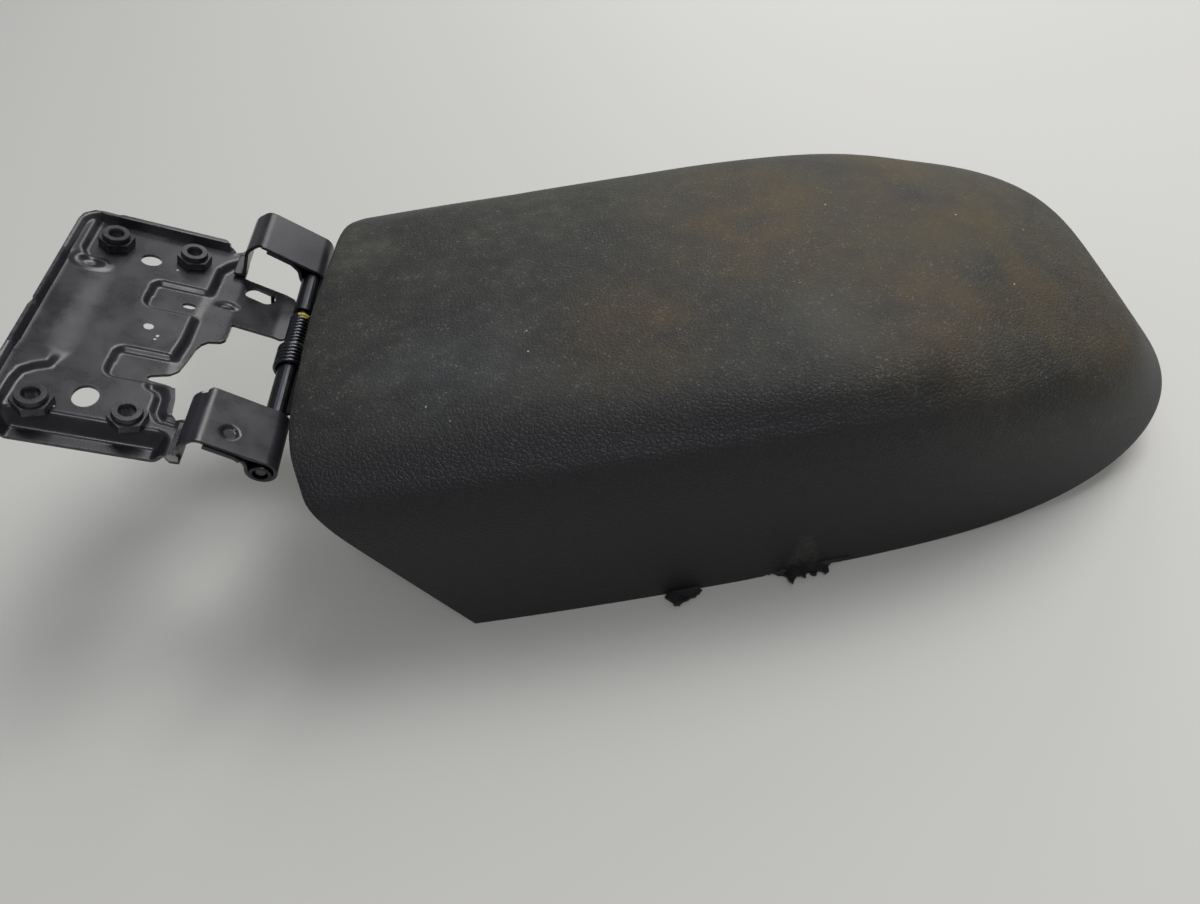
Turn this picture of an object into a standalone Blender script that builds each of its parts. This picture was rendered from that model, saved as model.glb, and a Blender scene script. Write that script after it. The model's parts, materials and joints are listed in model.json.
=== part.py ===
# Car centre-console armrest: a padded lid with a sprung hinge and a stamped mounting plate.
# Metres, +Z up, +X from the hinge to the nose, +Y to the far side. The lid stands on its skirt at z = 0.
import math

import bmesh
import bpy
from mathutils import Vector

# Driving dimensions of the lid
TOP_HEIGHT = 0.0840          # rear edge of the top face above the skirt's lower edge
TOP_FALL = 0.0089            # how much lower the top face is at the nose
TOP_CROWN = 0.0031           # rise of the top face at the middle of its length
CROSS_CROWN = 0.0030         # rise of the top face on the centre line
TOP_LENGTH = 0.2527
TOP_HALF_WIDTH = 0.0615
SHOULDER_LENGTH = 0.2992
SHOULDER_HALF_WIDTH = 0.0865
SHOULDER_DROP_REAR = 0.0139
SHOULDER_DROP_NOSE = 0.0178
LID_LENGTH = 0.3272
SKIRT_HALF_WIDTH = 0.0944
SKIRT_RISE = 0.0201          # height of the skirt's edge at the tip of the nose
SKIRT_RISE_START = 0.2119
REAR_CUT_FOOT = 0.0450       # where the sloping rear cut meets the lid's lower edge
REAR_CUT_TOP_X = 0.0004
REAR_CUT_TOP_DROP = 0.0020   # how far the cut's upper end lies below the top rear edge
REAR_ROUND = 0.0045
RIDGE_FILLET = 0.34
CREASE_FILLET = 0.26
TOP_FORM = (-0.35, 5.92, 2.30)        # taper, and the two exponents of the nose's roundness
SHOULDER_FORM = (0.15, 7.22, 4.58)
SKIRT_FORM = (0.25, 8.30, 3.12)

# Walls and clearances of the lid
GAP = 0.0003
SKIN_WALL = 0.0018
FOAM_TOP = 0.0048
FOAM_SIDE = 0.0020
PAN_ROOF = 0.0022
PAN_WALL = 0.0024
PANEL_HEIGHT = 0.0480
PANEL_WALL = 0.0024
PANEL_REACH = 0.2700
REAR_SETBACK = 0.0012        # foam, pan and panel stop this far inside the rear cut

# Hinge
AXIS_BEHIND = 0.0138         # hinge axis behind the top rear edge
AXIS_BELOW = 0.0112          # hinge axis below the top rear edge
PLATE_TILT = 28.7            # degrees that the plate rises from the hinge, lid open
PIN_DIAMETER = 0.0048
PIN_HEAD_DIAMETER = 0.0064
PIN_HEAD_LENGTH = 0.0014
SLEEVE_DIAMETER = 0.0078
SHEET = 0.0014
NEAR_ARM = (-0.0655, -0.0400)
FAR_ARM = (0.0420, 0.0630)
NEAR_SLEEVE_END = -0.0141
FAR_SLEEVE_END = 0.0183
HEM_LENGTH = 0.0190
HEM_GAP = 0.0005             # between an arm and its hem folded back beneath it
SLEEVE_PROUD = 0.0008        # how far the sleeves stand out of the knuckles
PIN_SUNK = 0.0010            # how far the pin's near end lies inside the sleeve
ARM_CREST = 0.0120           # top of the gooseneck arms above the hinge axis, square to the plate
ARM_WALL = 0.0280            # distance of the arms' standing wall from the axis

# Mounting plate, seen square to itself: u runs from the axis to the free edge, v is +Y
PLATE_END = 0.0930
CORNER_RELIEF = 0.00026      # how far the rounded lower corner stops short of the free edge
PLATE_FAR = 0.0585
PLATE_NEAR = -0.0575
FLOOR_LEVEL = -0.0075        # upper face of the floor, from the axis
RIM_RISE = 0.0038
STRIP_RISE = 0.0020
BEAD_DEPTH = 0.0020
NEAR_STEP = 0.0062
NUT_U = (0.0772, 0.0476)
NUT_V = (0.0439, -0.0467)
NUT_HEIGHT = 0.0055
NUT_BASE_HEIGHT = 0.0034
NUT_BASE_FLATS = 0.0116
NUT_TOP = 0.0096             # diameter of the round top of the nut
NUT_BORE = 0.0052
TONGUE_LEVEL = -0.0090       # upper face of the middle tongue at its root
TONGUE_TIP_LEVEL = -0.0068
TONGUE_TIP = 0.0045

# Spring
WIRE = 0.0016
LARGE_COIL_TURNS = 5.75
SMALL_COIL_TURNS = 10
LARGE_PITCH = 0.0019
SMALL_PITCH = 0.00185
SMALL_COIL_RADIUS = PIN_DIAMETER / 2 + GAP + WIRE / 2
LARGE_COIL_RADIUS = SLEEVE_DIAMETER / 2 + GAP + WIRE / 2
COIL_STEPS = 16

# Lid bracket, screws and stops
BRACKET_LENGTH = 0.0700
BRACKET_HALF_WIDTH = 0.0395
BRACKET_CENTRE_Y = 0.0010
BRACKET_SCREW_X = (0.0200, 0.0580)
BRACKET_SCREW_Y = (-0.0310, 0.0330)
SCREW_SHANK = 0.0040
SCREW_HEAD = 0.0082
SCREW_HEAD_HEIGHT = 0.0026
SCREW_LENGTH = 0.0085
BOSS_DIAMETER = 0.0094
PANEL_SCREW_X = (0.0500, 0.1300, 0.2050)
PANEL_SCREW_Y = 0.0470
STOP_DIAMETER = 0.0140
STOP_HEIGHT = 0.0060
STOP_X = 0.2350
STOP_Y = 0.0300

# Places that follow from the dimensions above
AXIS_X = -AXIS_BEHIND
AXIS_Z = TOP_HEIGHT - AXIS_BELOW
REAR_CUT_TOP_Z = TOP_HEIGHT - REAR_CUT_TOP_DROP
REAR_SLOPE = math.atan2(REAR_CUT_TOP_Z, REAR_CUT_FOOT - REAR_CUT_TOP_X)
TILT = math.radians(PLATE_TILT)
LIP_LOWEST = FLOOR_LEVEL - NEAR_STEP - SHEET
REAR_REACH = AXIS_X - (PLATE_END - CORNER_RELIEF) * math.cos(TILT) + LIP_LOWEST * math.sin(TILT)
SHIFT_X = -(LID_LENGTH + REAR_REACH) / 2      # puts the middle of the whole length at x = 0
KNUCKLE_BORE = SLEEVE_DIAMETER / 2 + GAP
KNUCKLE_MIDDLE = KNUCKLE_BORE + SHEET / 2
PAN_DEPTH = SKIN_WALL + GAP + FOAM_TOP + GAP
PAN_INSET = SKIN_WALL + GAP + FOAM_SIDE + GAP
ROOF_UNDERSIDE = TOP_HEIGHT - PAN_DEPTH - PAN_ROOF
BRACKET_TOP = ROOF_UNDERSIDE - GAP - 0.0002
EAR_SPANS = ((NEAR_ARM[1] + 0.0015, NEAR_SLEEVE_END - 0.0015), (FAR_SLEEVE_END + 0.0015, FAR_ARM[0] - 0.0015))


def material(name, colour, roughness, metallic=0.0):
    made = bpy.data.materials.new(name)
    made.use_nodes = True
    shader = made.node_tree.nodes["Principled BSDF"]
    shader.inputs["Base Color"].default_value = (*colour, 1.0)
    shader.inputs["Roughness"].default_value = roughness
    shader.inputs["Metallic"].default_value = metallic
    made.diffuse_color = (*colour, 1.0)
    return made


def add_object(name, bm, made, smooth=True):
    """Turns a bmesh into a named object with outward faces."""
    bmesh.ops.remove_doubles(bm, verts=bm.verts, dist=1e-6)
    bmesh.ops.recalc_face_normals(bm, faces=bm.faces)
    mesh = bpy.data.meshes.new(name)
    bm.to_mesh(mesh)
    bm.free()
    if smooth:
        mesh.shade_smooth()
        mesh.set_sharp_from_angle(angle=math.radians(35))
    obj = bpy.data.objects.new(name, mesh)
    bpy.context.scene.collection.objects.link(obj)
    if made:
        mesh.materials.append(made)
    return obj


def guide(name, bm):
    """A cutter or a filler that only shapes other objects."""
    obj = add_object(name, bm, None, smooth=False)
    obj.hide_render = True
    obj.display_type = "WIRE"
    return obj


def combine(target, tool, operation):
    change = target.modifiers.new(tool.name, "BOOLEAN")
    change.operation = operation
    change.solver = "EXACT"
    change.object = tool
    return change


def prism(bm, outline, axis, low, high):
    """Extrudes a closed outline of pairs along an axis: 0 for X, 1 for Y, 2 for Z."""
    def corner(pair, level):
        point = [pair[0], pair[1]]
        point.insert(axis, level)
        return bm.verts.new(point)
    bottom = [corner(pair, low) for pair in outline]
    top = [corner(pair, high) for pair in outline]
    bm.faces.new(bottom)
    bm.faces.new(top)
    count = len(outline)
    for i in range(count):
        bm.faces.new((bottom[i], bottom[(i + 1) % count], top[(i + 1) % count], top[i]))


def box(bm, low, high):
    prism(bm, [(low[0], low[1]), (high[0], low[1]), (high[0], high[1]), (low[0], high[1])],
          2, low[2], high[2])


def circle(centre, radius, sides, turn=0.0):
    return [(centre[0] + radius * math.cos(turn + 2 * math.pi * i / sides),
             centre[1] + radius * math.sin(turn + 2 * math.pi * i / sides)) for i in range(sides)]


def turned(bm, profile, sides, place, direction="Z"):
    """Spins a closed profile of (radius, height) pairs round an axis through place."""
    rings = []
    for radius, height in profile:
        ring = []
        for i in range(sides):
            angle = 2 * math.pi * i / sides
            point = Vector((radius * math.cos(angle), radius * math.sin(angle), height))
            if direction == "Y":
                point = Vector((point.x, point.z, -point.y))
            ring.append(bm.verts.new(point + Vector(place)))
        rings.append(ring)
    for k in range(len(rings)):
        low, high = rings[k], rings[(k + 1) % len(rings)]
        for i in range(sides):
            j = (i + 1) % sides
            bm.faces.new((low[i], low[j], high[j], high[i]))


def rod(bm, profile, sides, place, direction="Z"):
    """A solid turned piece: the first and last pairs of the profile close as flat ends."""
    rings = []
    for radius, height in profile:
        ring = []
        for i in range(sides):
            angle = 2 * math.pi * i / sides
            point = Vector((radius * math.cos(angle), radius * math.sin(angle), height))
            if direction == "Y":
                point = Vector((point.x, point.z, -point.y))
            ring.append(bm.verts.new(point + Vector(place)))
        rings.append(ring)
    for low, high in zip(rings, rings[1:]):
        for i in range(sides):
            j = (i + 1) % sides
            bm.faces.new((low[i], low[j], high[j], high[i]))
    bm.faces.new(rings[0])
    bm.faces.new(rings[-1])


# Form of the lid

def top_line(x):
    """Height of the top face along its ridge."""
    share = max(0.0, min(1.1, x / 0.300))
    return TOP_HEIGHT - TOP_FALL * share + 4 * TOP_CROWN * share * (1 - share)


def half_width(share, width, form):
    taper, along, across = form
    return width * (1 - taper * share ** 2) * max(0.0, 1 - share ** along) ** (1 / across)


def lid_section(share, inset, depth, reach, rear, crown, rounding):
    """Half of the lid's cross section at a share of the way from the rear to the nose.

    inset draws the sides in, depth lowers the top, reach carries the sides on below the lower edge.
    """
    lengths = (TOP_LENGTH, SHOULDER_LENGTH, LID_LENGTH)
    widths = (TOP_HALF_WIDTH, SHOULDER_HALF_WIDTH, SKIRT_HALF_WIDTH)
    forms = (TOP_FORM, SHOULDER_FORM, SKIRT_FORM)
    points = []
    for level in range(3):
        length = lengths[level] - inset
        x = rear + share * (length - rear)
        part = max(0.0, x / length)
        y = half_width(part, widths[level] - inset, forms[level])
        if level == 0:
            z = top_line(x) - depth
        elif level == 1:
            drop = SHOULDER_DROP_REAR + (SHOULDER_DROP_NOSE - SHOULDER_DROP_REAR) * part ** 4
            z = top_line(x) - drop - 0.8 * depth
        else:
            rise = max(0.0, (x - SKIRT_RISE_START) / (length - SKIRT_RISE_START))
            z = SKIRT_RISE * rise ** 2
        points.append(Vector((x, y, z)))
    ridge, crease, edge = points
    # the rear end of the top and the shoulder is rounded over
    short = max(0.0, rounding - (ridge.x - rear))
    pull = rounding - math.sqrt(max(0.0, rounding ** 2 - short ** 2))
    ridge.z -= 0.8 * pull
    ridge.y -= 0.4 * pull
    crease.y -= 0.6 * pull
    centre = Vector((ridge.x, 0.0, ridge.z + crown))

    def fillet(before, corner, after, size):
        start = corner + (before - corner) * size
        end = corner + (after - corner) * size
        return [start * (1 - t) ** 2 + corner * 2 * t * (1 - t) + end * t ** 2
                for t in (0.0, 1 / 3, 2 / 3, 1.0)]
    shoulder = Vector((ridge.x, ridge.y * 0.45, ridge.z + crown * 0.80))
    path = [edge + (edge - crease) * (reach / (crease.z - edge.z))]
    path += fillet(edge, crease, ridge, CREASE_FILLET)
    path += fillet(crease, ridge, shoulder, RIDGE_FILLET)
    path += [shoulder, centre]
    return path


def lid_body(inset=0.0, depth=0.0, reach=0.0, rear=0.0, crown=CROSS_CROWN):
    """Closed solid with the lid's form, drawn in by inset and depth."""
    bm = bmesh.new()
    shares = [0.0, 0.0045, 0.0105, 0.018, 0.05, 0.12, 0.21, 0.30, 0.40, 0.50, 0.59, 0.67, 0.74, 0.80,
              0.855, 0.90, 0.935, 0.962, 0.981, 0.9925, 0.9977, 0.9995, 1.0]
    rounding = max(0.0, REAR_ROUND - inset) if rear >= 0 else 0.0
    rows = []
    for share in shares:
        half = lid_section(share, inset, depth, reach, rear, crown, rounding)
        ring = [Vector((p.x, -p.y, p.z)) for p in half]
        ring += [Vector((p.x, p.y, p.z)) for p in reversed(half[:-1])]
        rows.append([bm.verts.new(p) for p in ring])
    for low, high in zip(rows, rows[1:]):
        count = len(low)
        for k in range(count):
            j = (k + 1) % count
            bm.faces.new((low[k], low[j], high[j], high[k]))
    bm.faces.new(rows[0])
    bmesh.ops.remove_doubles(bm, verts=bm.verts, dist=2e-6)
    flat = [f for f in bm.faces if f.calc_area() < 1e-12]
    bmesh.ops.delete(bm, geom=flat, context="FACES_ONLY")
    bmesh.ops.holes_fill(bm, edges=[e for e in bm.edges if e.is_boundary])
    return bm


def rear_line(z, offset):
    """Place along X of the sloping rear cut at a height, offset forwards square to the cut."""
    return REAR_CUT_TOP_X + (REAR_CUT_TOP_Z - z) / math.tan(REAR_SLOPE) + offset / math.sin(REAR_SLOPE)


def rear_cut(name, offset):
    """Wedge behind the sloping rear cut of the lid, offset forwards square to the cut."""
    bm = bmesh.new()
    outline = [(rear_line(-0.030, offset), -0.030), (rear_line(REAR_CUT_TOP_Z, offset), REAR_CUT_TOP_Z),
               (-0.060, REAR_CUT_TOP_Z), (-0.060, -0.030)]
    prism(bm, outline, 1, -0.130, 0.130)
    return guide(name, bm)


def placed(obj, x=0.0, y=0.0, z=0.0):
    obj.location = (SHIFT_X + x, y, z)
    return obj


def build_lid(materials):
    skin = placed(add_object("cover_skin", lid_body(), materials["skin"]))
    skin_void = placed(guide("skin_void", lid_body(SKIN_WALL, SKIN_WALL, 0.010, SKIN_WALL)))
    combine(skin, skin_void, "DIFFERENCE")
    combine(skin, placed(rear_cut("skin_rear_cut", 0.0)), "DIFFERENCE")
    combine(skin, torn_edge(), "DIFFERENCE")

    inset, depth = SKIN_WALL + GAP, SKIN_WALL + GAP
    foam = placed(add_object("foam_pad", lid_body(inset, depth, -0.0010, inset), materials["foam"]))
    foam_void = placed(guide("foam_void", lid_body(PAN_INSET - GAP, PAN_DEPTH - GAP, 0.010,
                                                   -0.010, crown=0.0)))
    combine(foam, foam_void, "DIFFERENCE")
    combine(foam, placed(rear_cut("foam_rear_cut", REAR_SETBACK)), "DIFFERENCE")

    pan = placed(add_object("lid_pan", lid_body(PAN_INSET, PAN_DEPTH, -0.0010, PAN_INSET, crown=0.0),
                            materials["plastic"]))
    pan_void = placed(guide("pan_void", lid_body(PAN_INSET + PAN_WALL, PAN_DEPTH + PAN_ROOF, 0.010,
                                                 -0.010, crown=0.0)))
    combine(pan, pan_void, "DIFFERENCE")
    combine(pan, placed(rear_cut("pan_rear_cut", REAR_SETBACK)), "DIFFERENCE")
    bosses = bmesh.new()
    holes = bmesh.new()
    for x in PANEL_SCREW_X:
        for y in (-PANEL_SCREW_Y, PANEL_SCREW_Y):
            low = PANEL_HEIGHT + PANEL_WALL + GAP
            rod(bosses, [(BOSS_DIAMETER / 2, low), (BOSS_DIAMETER / 2, roof_under(x) + 0.0010)], 20, (x, y, 0))
            rod(holes, [(SCREW_SHANK / 2 + GAP, low - 0.001),
                        (SCREW_SHANK / 2 + GAP, low + SCREW_LENGTH)], 16, (x, y, 0))
    for x in BRACKET_SCREW_X:
        for y in BRACKET_SCREW_Y:
            rod(holes, [(SCREW_SHANK / 2 + GAP, BRACKET_TOP - 0.001),
                        (SCREW_SHANK / 2 + GAP, ROOF_UNDERSIDE + PAN_ROOF * 0.8)], 16, (x, y, 0))
    combine(pan, placed(guide("pan_bosses", bosses)), "UNION")
    combine(pan, placed(guide("pan_holes", holes)), "DIFFERENCE")

    panel = placed(add_object("bottom_panel", lid_body(PAN_INSET + PAN_WALL + 2 * GAP,
                                                       PAN_DEPTH + PAN_ROOF, 0.010, 0.0, crown=0.0),
                              materials["plastic"]))
    slab = bmesh.new()
    inner_face = REAR_SETBACK + PANEL_WALL
    rear_top = AXIS_Z - SHEET / 2 - 2 * GAP
    prism(slab, [(PANEL_REACH, PANEL_HEIGHT), (rear_line(PANEL_HEIGHT, REAR_SETBACK), PANEL_HEIGHT),
                 (rear_line(rear_top, REAR_SETBACK), rear_top), (rear_line(rear_top, inner_face), rear_top),
                 (rear_line(PANEL_HEIGHT + PANEL_WALL, inner_face), PANEL_HEIGHT + PANEL_WALL),
                 (PANEL_REACH, PANEL_HEIGHT + PANEL_WALL)], 1, -0.12, 0.12)
    combine(panel, placed(guide("panel_slab", slab)), "INTERSECT")
    panel_holes = bmesh.new()
    for x in PANEL_SCREW_X:
        for y in (-PANEL_SCREW_Y, PANEL_SCREW_Y):
            rod(panel_holes, [(SCREW_SHANK / 2 + GAP, PANEL_HEIGHT - 0.001),
                              (SCREW_SHANK / 2 + GAP, PANEL_HEIGHT + PANEL_WALL + 0.001)], 16, (x, y, 0))
    combine(panel, placed(guide("panel_holes", panel_holes)), "DIFFERENCE")


def roof_under(x):
    return top_line(x) - PAN_DEPTH - PAN_ROOF


def torn_edge():
    """Ragged bites in the near lower edge of the skin, where it is torn."""
    bm = bmesh.new()
    centre = 0.1670
    bite = [(-0.0235, -0.004), (-0.0215, 0.0007), (-0.0165, 0.0012), (-0.0120, 0.0008), (-0.0085, 0.0022),
            (-0.0055, 0.0036), (-0.0020, 0.0026), (0.0015, 0.0042), (0.0050, 0.0020), (0.0095, 0.0026),
            (0.0145, 0.0010), (0.0200, 0.0014), (0.0225, 0.0006), (0.0240, -0.004)]
    prism(bm, [(centre + x, z) for x, z in bite], 1, -0.110, -0.060)
    return placed(guide("torn_edge", bm))


def build_screws(materials):
    def screw(name, x, y, seat):
        bm = bmesh.new()
        rod(bm, [(SCREW_HEAD * 0.36, seat - SCREW_HEAD_HEIGHT), (SCREW_HEAD / 2, seat - SCREW_HEAD_HEIGHT * 0.45),
                 (SCREW_HEAD / 2, seat), (SCREW_SHANK / 2, seat), (SCREW_SHANK / 2, seat + length),
                 (SCREW_SHANK * 0.25, seat + length + 0.0008)], 16, (0, 0, 0))
        obj = add_object(name, bm, materials["screw"])
        placed(obj, x, y, 0.0)
        recess = bmesh.new()
        arm, rib = 0.0021, 0.0004
        cross = [(arm, -rib), (arm, rib), (rib, rib), (rib, arm), (-rib, arm), (-rib, rib),
                 (-arm, rib), (-arm, -rib), (-rib, -rib), (-rib, -arm), (rib, -arm), (rib, -rib)]
        prism(recess, cross, 2, seat - SCREW_HEAD_HEIGHT - 0.001, seat - SCREW_HEAD_HEIGHT + 0.0012)
        combine(obj, placed(guide(name + "_recess", recess), x, y, 0.0), "DIFFERENCE")

    number = 1
    length = SCREW_LENGTH - 0.0018
    for x in PANEL_SCREW_X:
        for y in (-PANEL_SCREW_Y, PANEL_SCREW_Y):
            screw("panel_screw_%d" % number, x, y, PANEL_HEIGHT - GAP)
            number += 1
    number = 1
    length = SHEET + 0.0014
    for x in BRACKET_SCREW_X:
        for y in BRACKET_SCREW_Y:
            screw("bracket_screw_%d" % number, x, y, BRACKET_TOP - SHEET - GAP)
            number += 1


def build_bracket(materials):
    """Steel bracket under the lid: two ears butt on the sleeves, and a flat lies under the pan."""
    bm = bmesh.new()
    low, high = BRACKET_TOP - SHEET, BRACKET_TOP
    box(bm, (0.0060, BRACKET_CENTRE_Y - BRACKET_HALF_WIDTH, low),
        (BRACKET_LENGTH, BRACKET_CENTRE_Y + BRACKET_HALF_WIDTH, high))
    bracket = placed(add_object("lid_bracket", bm, materials["steel"], smooth=False))
    ears = bmesh.new()
    ear_root = AXIS_X + SLEEVE_DIAMETER / 2 + GAP
    middle = AXIS_Z
    half = SHEET / 2
    flat = (low + high) / 2
    for y0, y1 in EAR_SPANS:
        outline = [(ear_root, middle - half), (-0.0020, middle - half), (0.0070, flat - half),
                   (0.0100, flat - half), (0.0100, flat + half), (0.0070, flat + half),
                   (-0.0020, middle + half), (ear_root, middle + half)]
        prism(ears, outline, 1, y0, y1)
    combine(bracket, placed(guide("bracket_ears", ears)), "UNION")
    cuts = bmesh.new()
    for x in BRACKET_SCREW_X:
        for y in BRACKET_SCREW_Y:
            rod(cuts, [(SCREW_SHANK / 2 + GAP, low - 0.001), (SCREW_SHANK / 2 + GAP, high + 0.001)], 16, (x, y, 0))
    window = [(0.0300, -0.0180), (0.0520, -0.0180), (0.0520, 0.0200), (0.0300, 0.0200)]
    prism(cuts, window, 2, low - 0.001, high + 0.001)
    combine(bracket, placed(guide("bracket_cuts", cuts)), "DIFFERENCE")


def build_stops(materials):
    for side, name in ((-1, "bump_stop_near"), (1, "bump_stop_far")):
        bm = bmesh.new()
        seat = PANEL_HEIGHT - GAP
        rod(bm, [(STOP_DIAMETER / 2 - 0.0015, seat - STOP_HEIGHT), (STOP_DIAMETER / 2, seat - STOP_HEIGHT + 0.0015),
                 (STOP_DIAMETER / 2, seat)], 24, (0, 0, 0))
        placed(add_object(name, bm, materials["rubber"]), STOP_X, side * STOP_Y, 0.0)


def build_pin(materials, axis):
    near_end = NEAR_ARM[0] - SLEEVE_PROUD + PIN_SUNK
    far_end = FAR_ARM[1] + SLEEVE_PROUD + GAP
    bm = bmesh.new()
    radius, head = PIN_DIAMETER / 2, PIN_HEAD_DIAMETER / 2
    rod(bm, [(radius * 0.7, near_end), (radius, near_end + radius * 0.3), (radius, far_end), (head, far_end),
             (head, far_end + PIN_HEAD_LENGTH * 0.5), (head * 0.7, far_end + PIN_HEAD_LENGTH)],
        20, (0, 0, 0), "Y")
    pin = add_object("hinge_pin", bm, materials["steel"])
    pin.parent = axis
    for name, low, high in (("sleeve_near", NEAR_ARM[0] - SLEEVE_PROUD, NEAR_SLEEVE_END),
                            ("sleeve_far", FAR_SLEEVE_END, FAR_ARM[1] + SLEEVE_PROUD)):
        bm = bmesh.new()
        inner, outer = PIN_DIAMETER / 2 + GAP, SLEEVE_DIAMETER / 2
        turned(bm, [(inner, low), (outer, low), (outer, high), (inner, high)], 24, (0, 0, 0), "Y")
        sleeve = add_object(name, bm, materials["steel"])
        sleeve.parent = axis


def sheet_outline(path):
    """Outline of a bent sheet of the plate's thickness along a middle line of (u, n) pairs."""
    left, right = [], []
    for i, point in enumerate(path):
        here = Vector(point)
        before = (here - Vector(path[i - 1])).normalized() if i else None
        after = (Vector(path[i + 1]) - here).normalized() if i + 1 < len(path) else None
        if before is None:
            before = after
        if after is None:
            after = before
        normal = Vector((-(before + after).y, (before + after).x)).normalized()
        reach = SHEET / 2 / max(0.5, normal.dot(Vector((-before.y, before.x))))
        left.append(here + normal * reach)
        right.append(here - normal * reach)
    return left + right[::-1]


def arm_path():
    """Middle line of a gooseneck arm, from the plate's floor over the hinge pin and back beneath."""
    root = FLOOR_LEVEL - SHEET / 2 + 0.00012
    crest = ARM_CREST - SHEET / 2
    neck = Vector((0.0055, KNUCKLE_MIDDLE + 0.0006))
    top = Vector((ARM_WALL - 0.0085, crest))
    path = [(ARM_WALL + 0.0060, root), (ARM_WALL + 0.0018, root), (ARM_WALL + 0.0004, root + 0.0010),
            (ARM_WALL - 0.0002, root + 0.0030), (ARM_WALL - 0.0006, crest - 0.0080),
            (ARM_WALL - 0.0016, crest - 0.0046), (ARM_WALL - 0.0034, crest - 0.0020),
            (ARM_WALL - 0.0058, crest - 0.0006), tuple(top), tuple(neck)]
    for i in range(19):
        angle = math.radians(90 + 15 * i)
        path.append((KNUCKLE_MIDDLE * math.cos(angle), KNUCKLE_MIDDLE * math.sin(angle)))
    # the hem lies along the underside of the arm
    along = (top - neck).normalized()
    below = Vector((along.y, -along.x)) * (SHEET + HEM_GAP)
    path += [(KNUCKLE_MIDDLE + 0.0001, 0.0013), (KNUCKLE_MIDDLE + 0.0007, 0.0029),
             tuple(neck + below + along * 0.0012),
             tuple(neck + below + along * (HEM_LENGTH - neck.x - below.x) / along.x)]
    return path


def height_at(u, v):
    """Upper face of the stamped plate."""
    level = FLOOR_LEVEL
    in_far_pad = u < 0.0860 and v > 0.0340
    in_near_pad = u < 0.0860 and v < -0.0285
    edge = 0.0770 if -0.0285 <= v <= 0.0340 else 0.0
    if not in_far_pad and not in_near_pad and u > edge:
        level += STRIP_RISE
    if 0.0370 < u < 0.0600 and (0.0118 < v < 0.0290 or -0.0270 < v < -0.0125):
        level -= BEAD_DEPTH
    if u < 0.0390 and -0.0440 < v < -0.0285:
        level -= BEAD_DEPTH
    if u < 0.0365 and -0.0285 <= v < 0.0400:
        level = TONGUE_LEVEL
    if u > 0.0905 or v > 0.0560:
        level = FLOOR_LEVEL + RIM_RISE
    if v < -0.0510:
        level = FLOOR_LEVEL - NEAR_STEP
    return level


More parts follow.
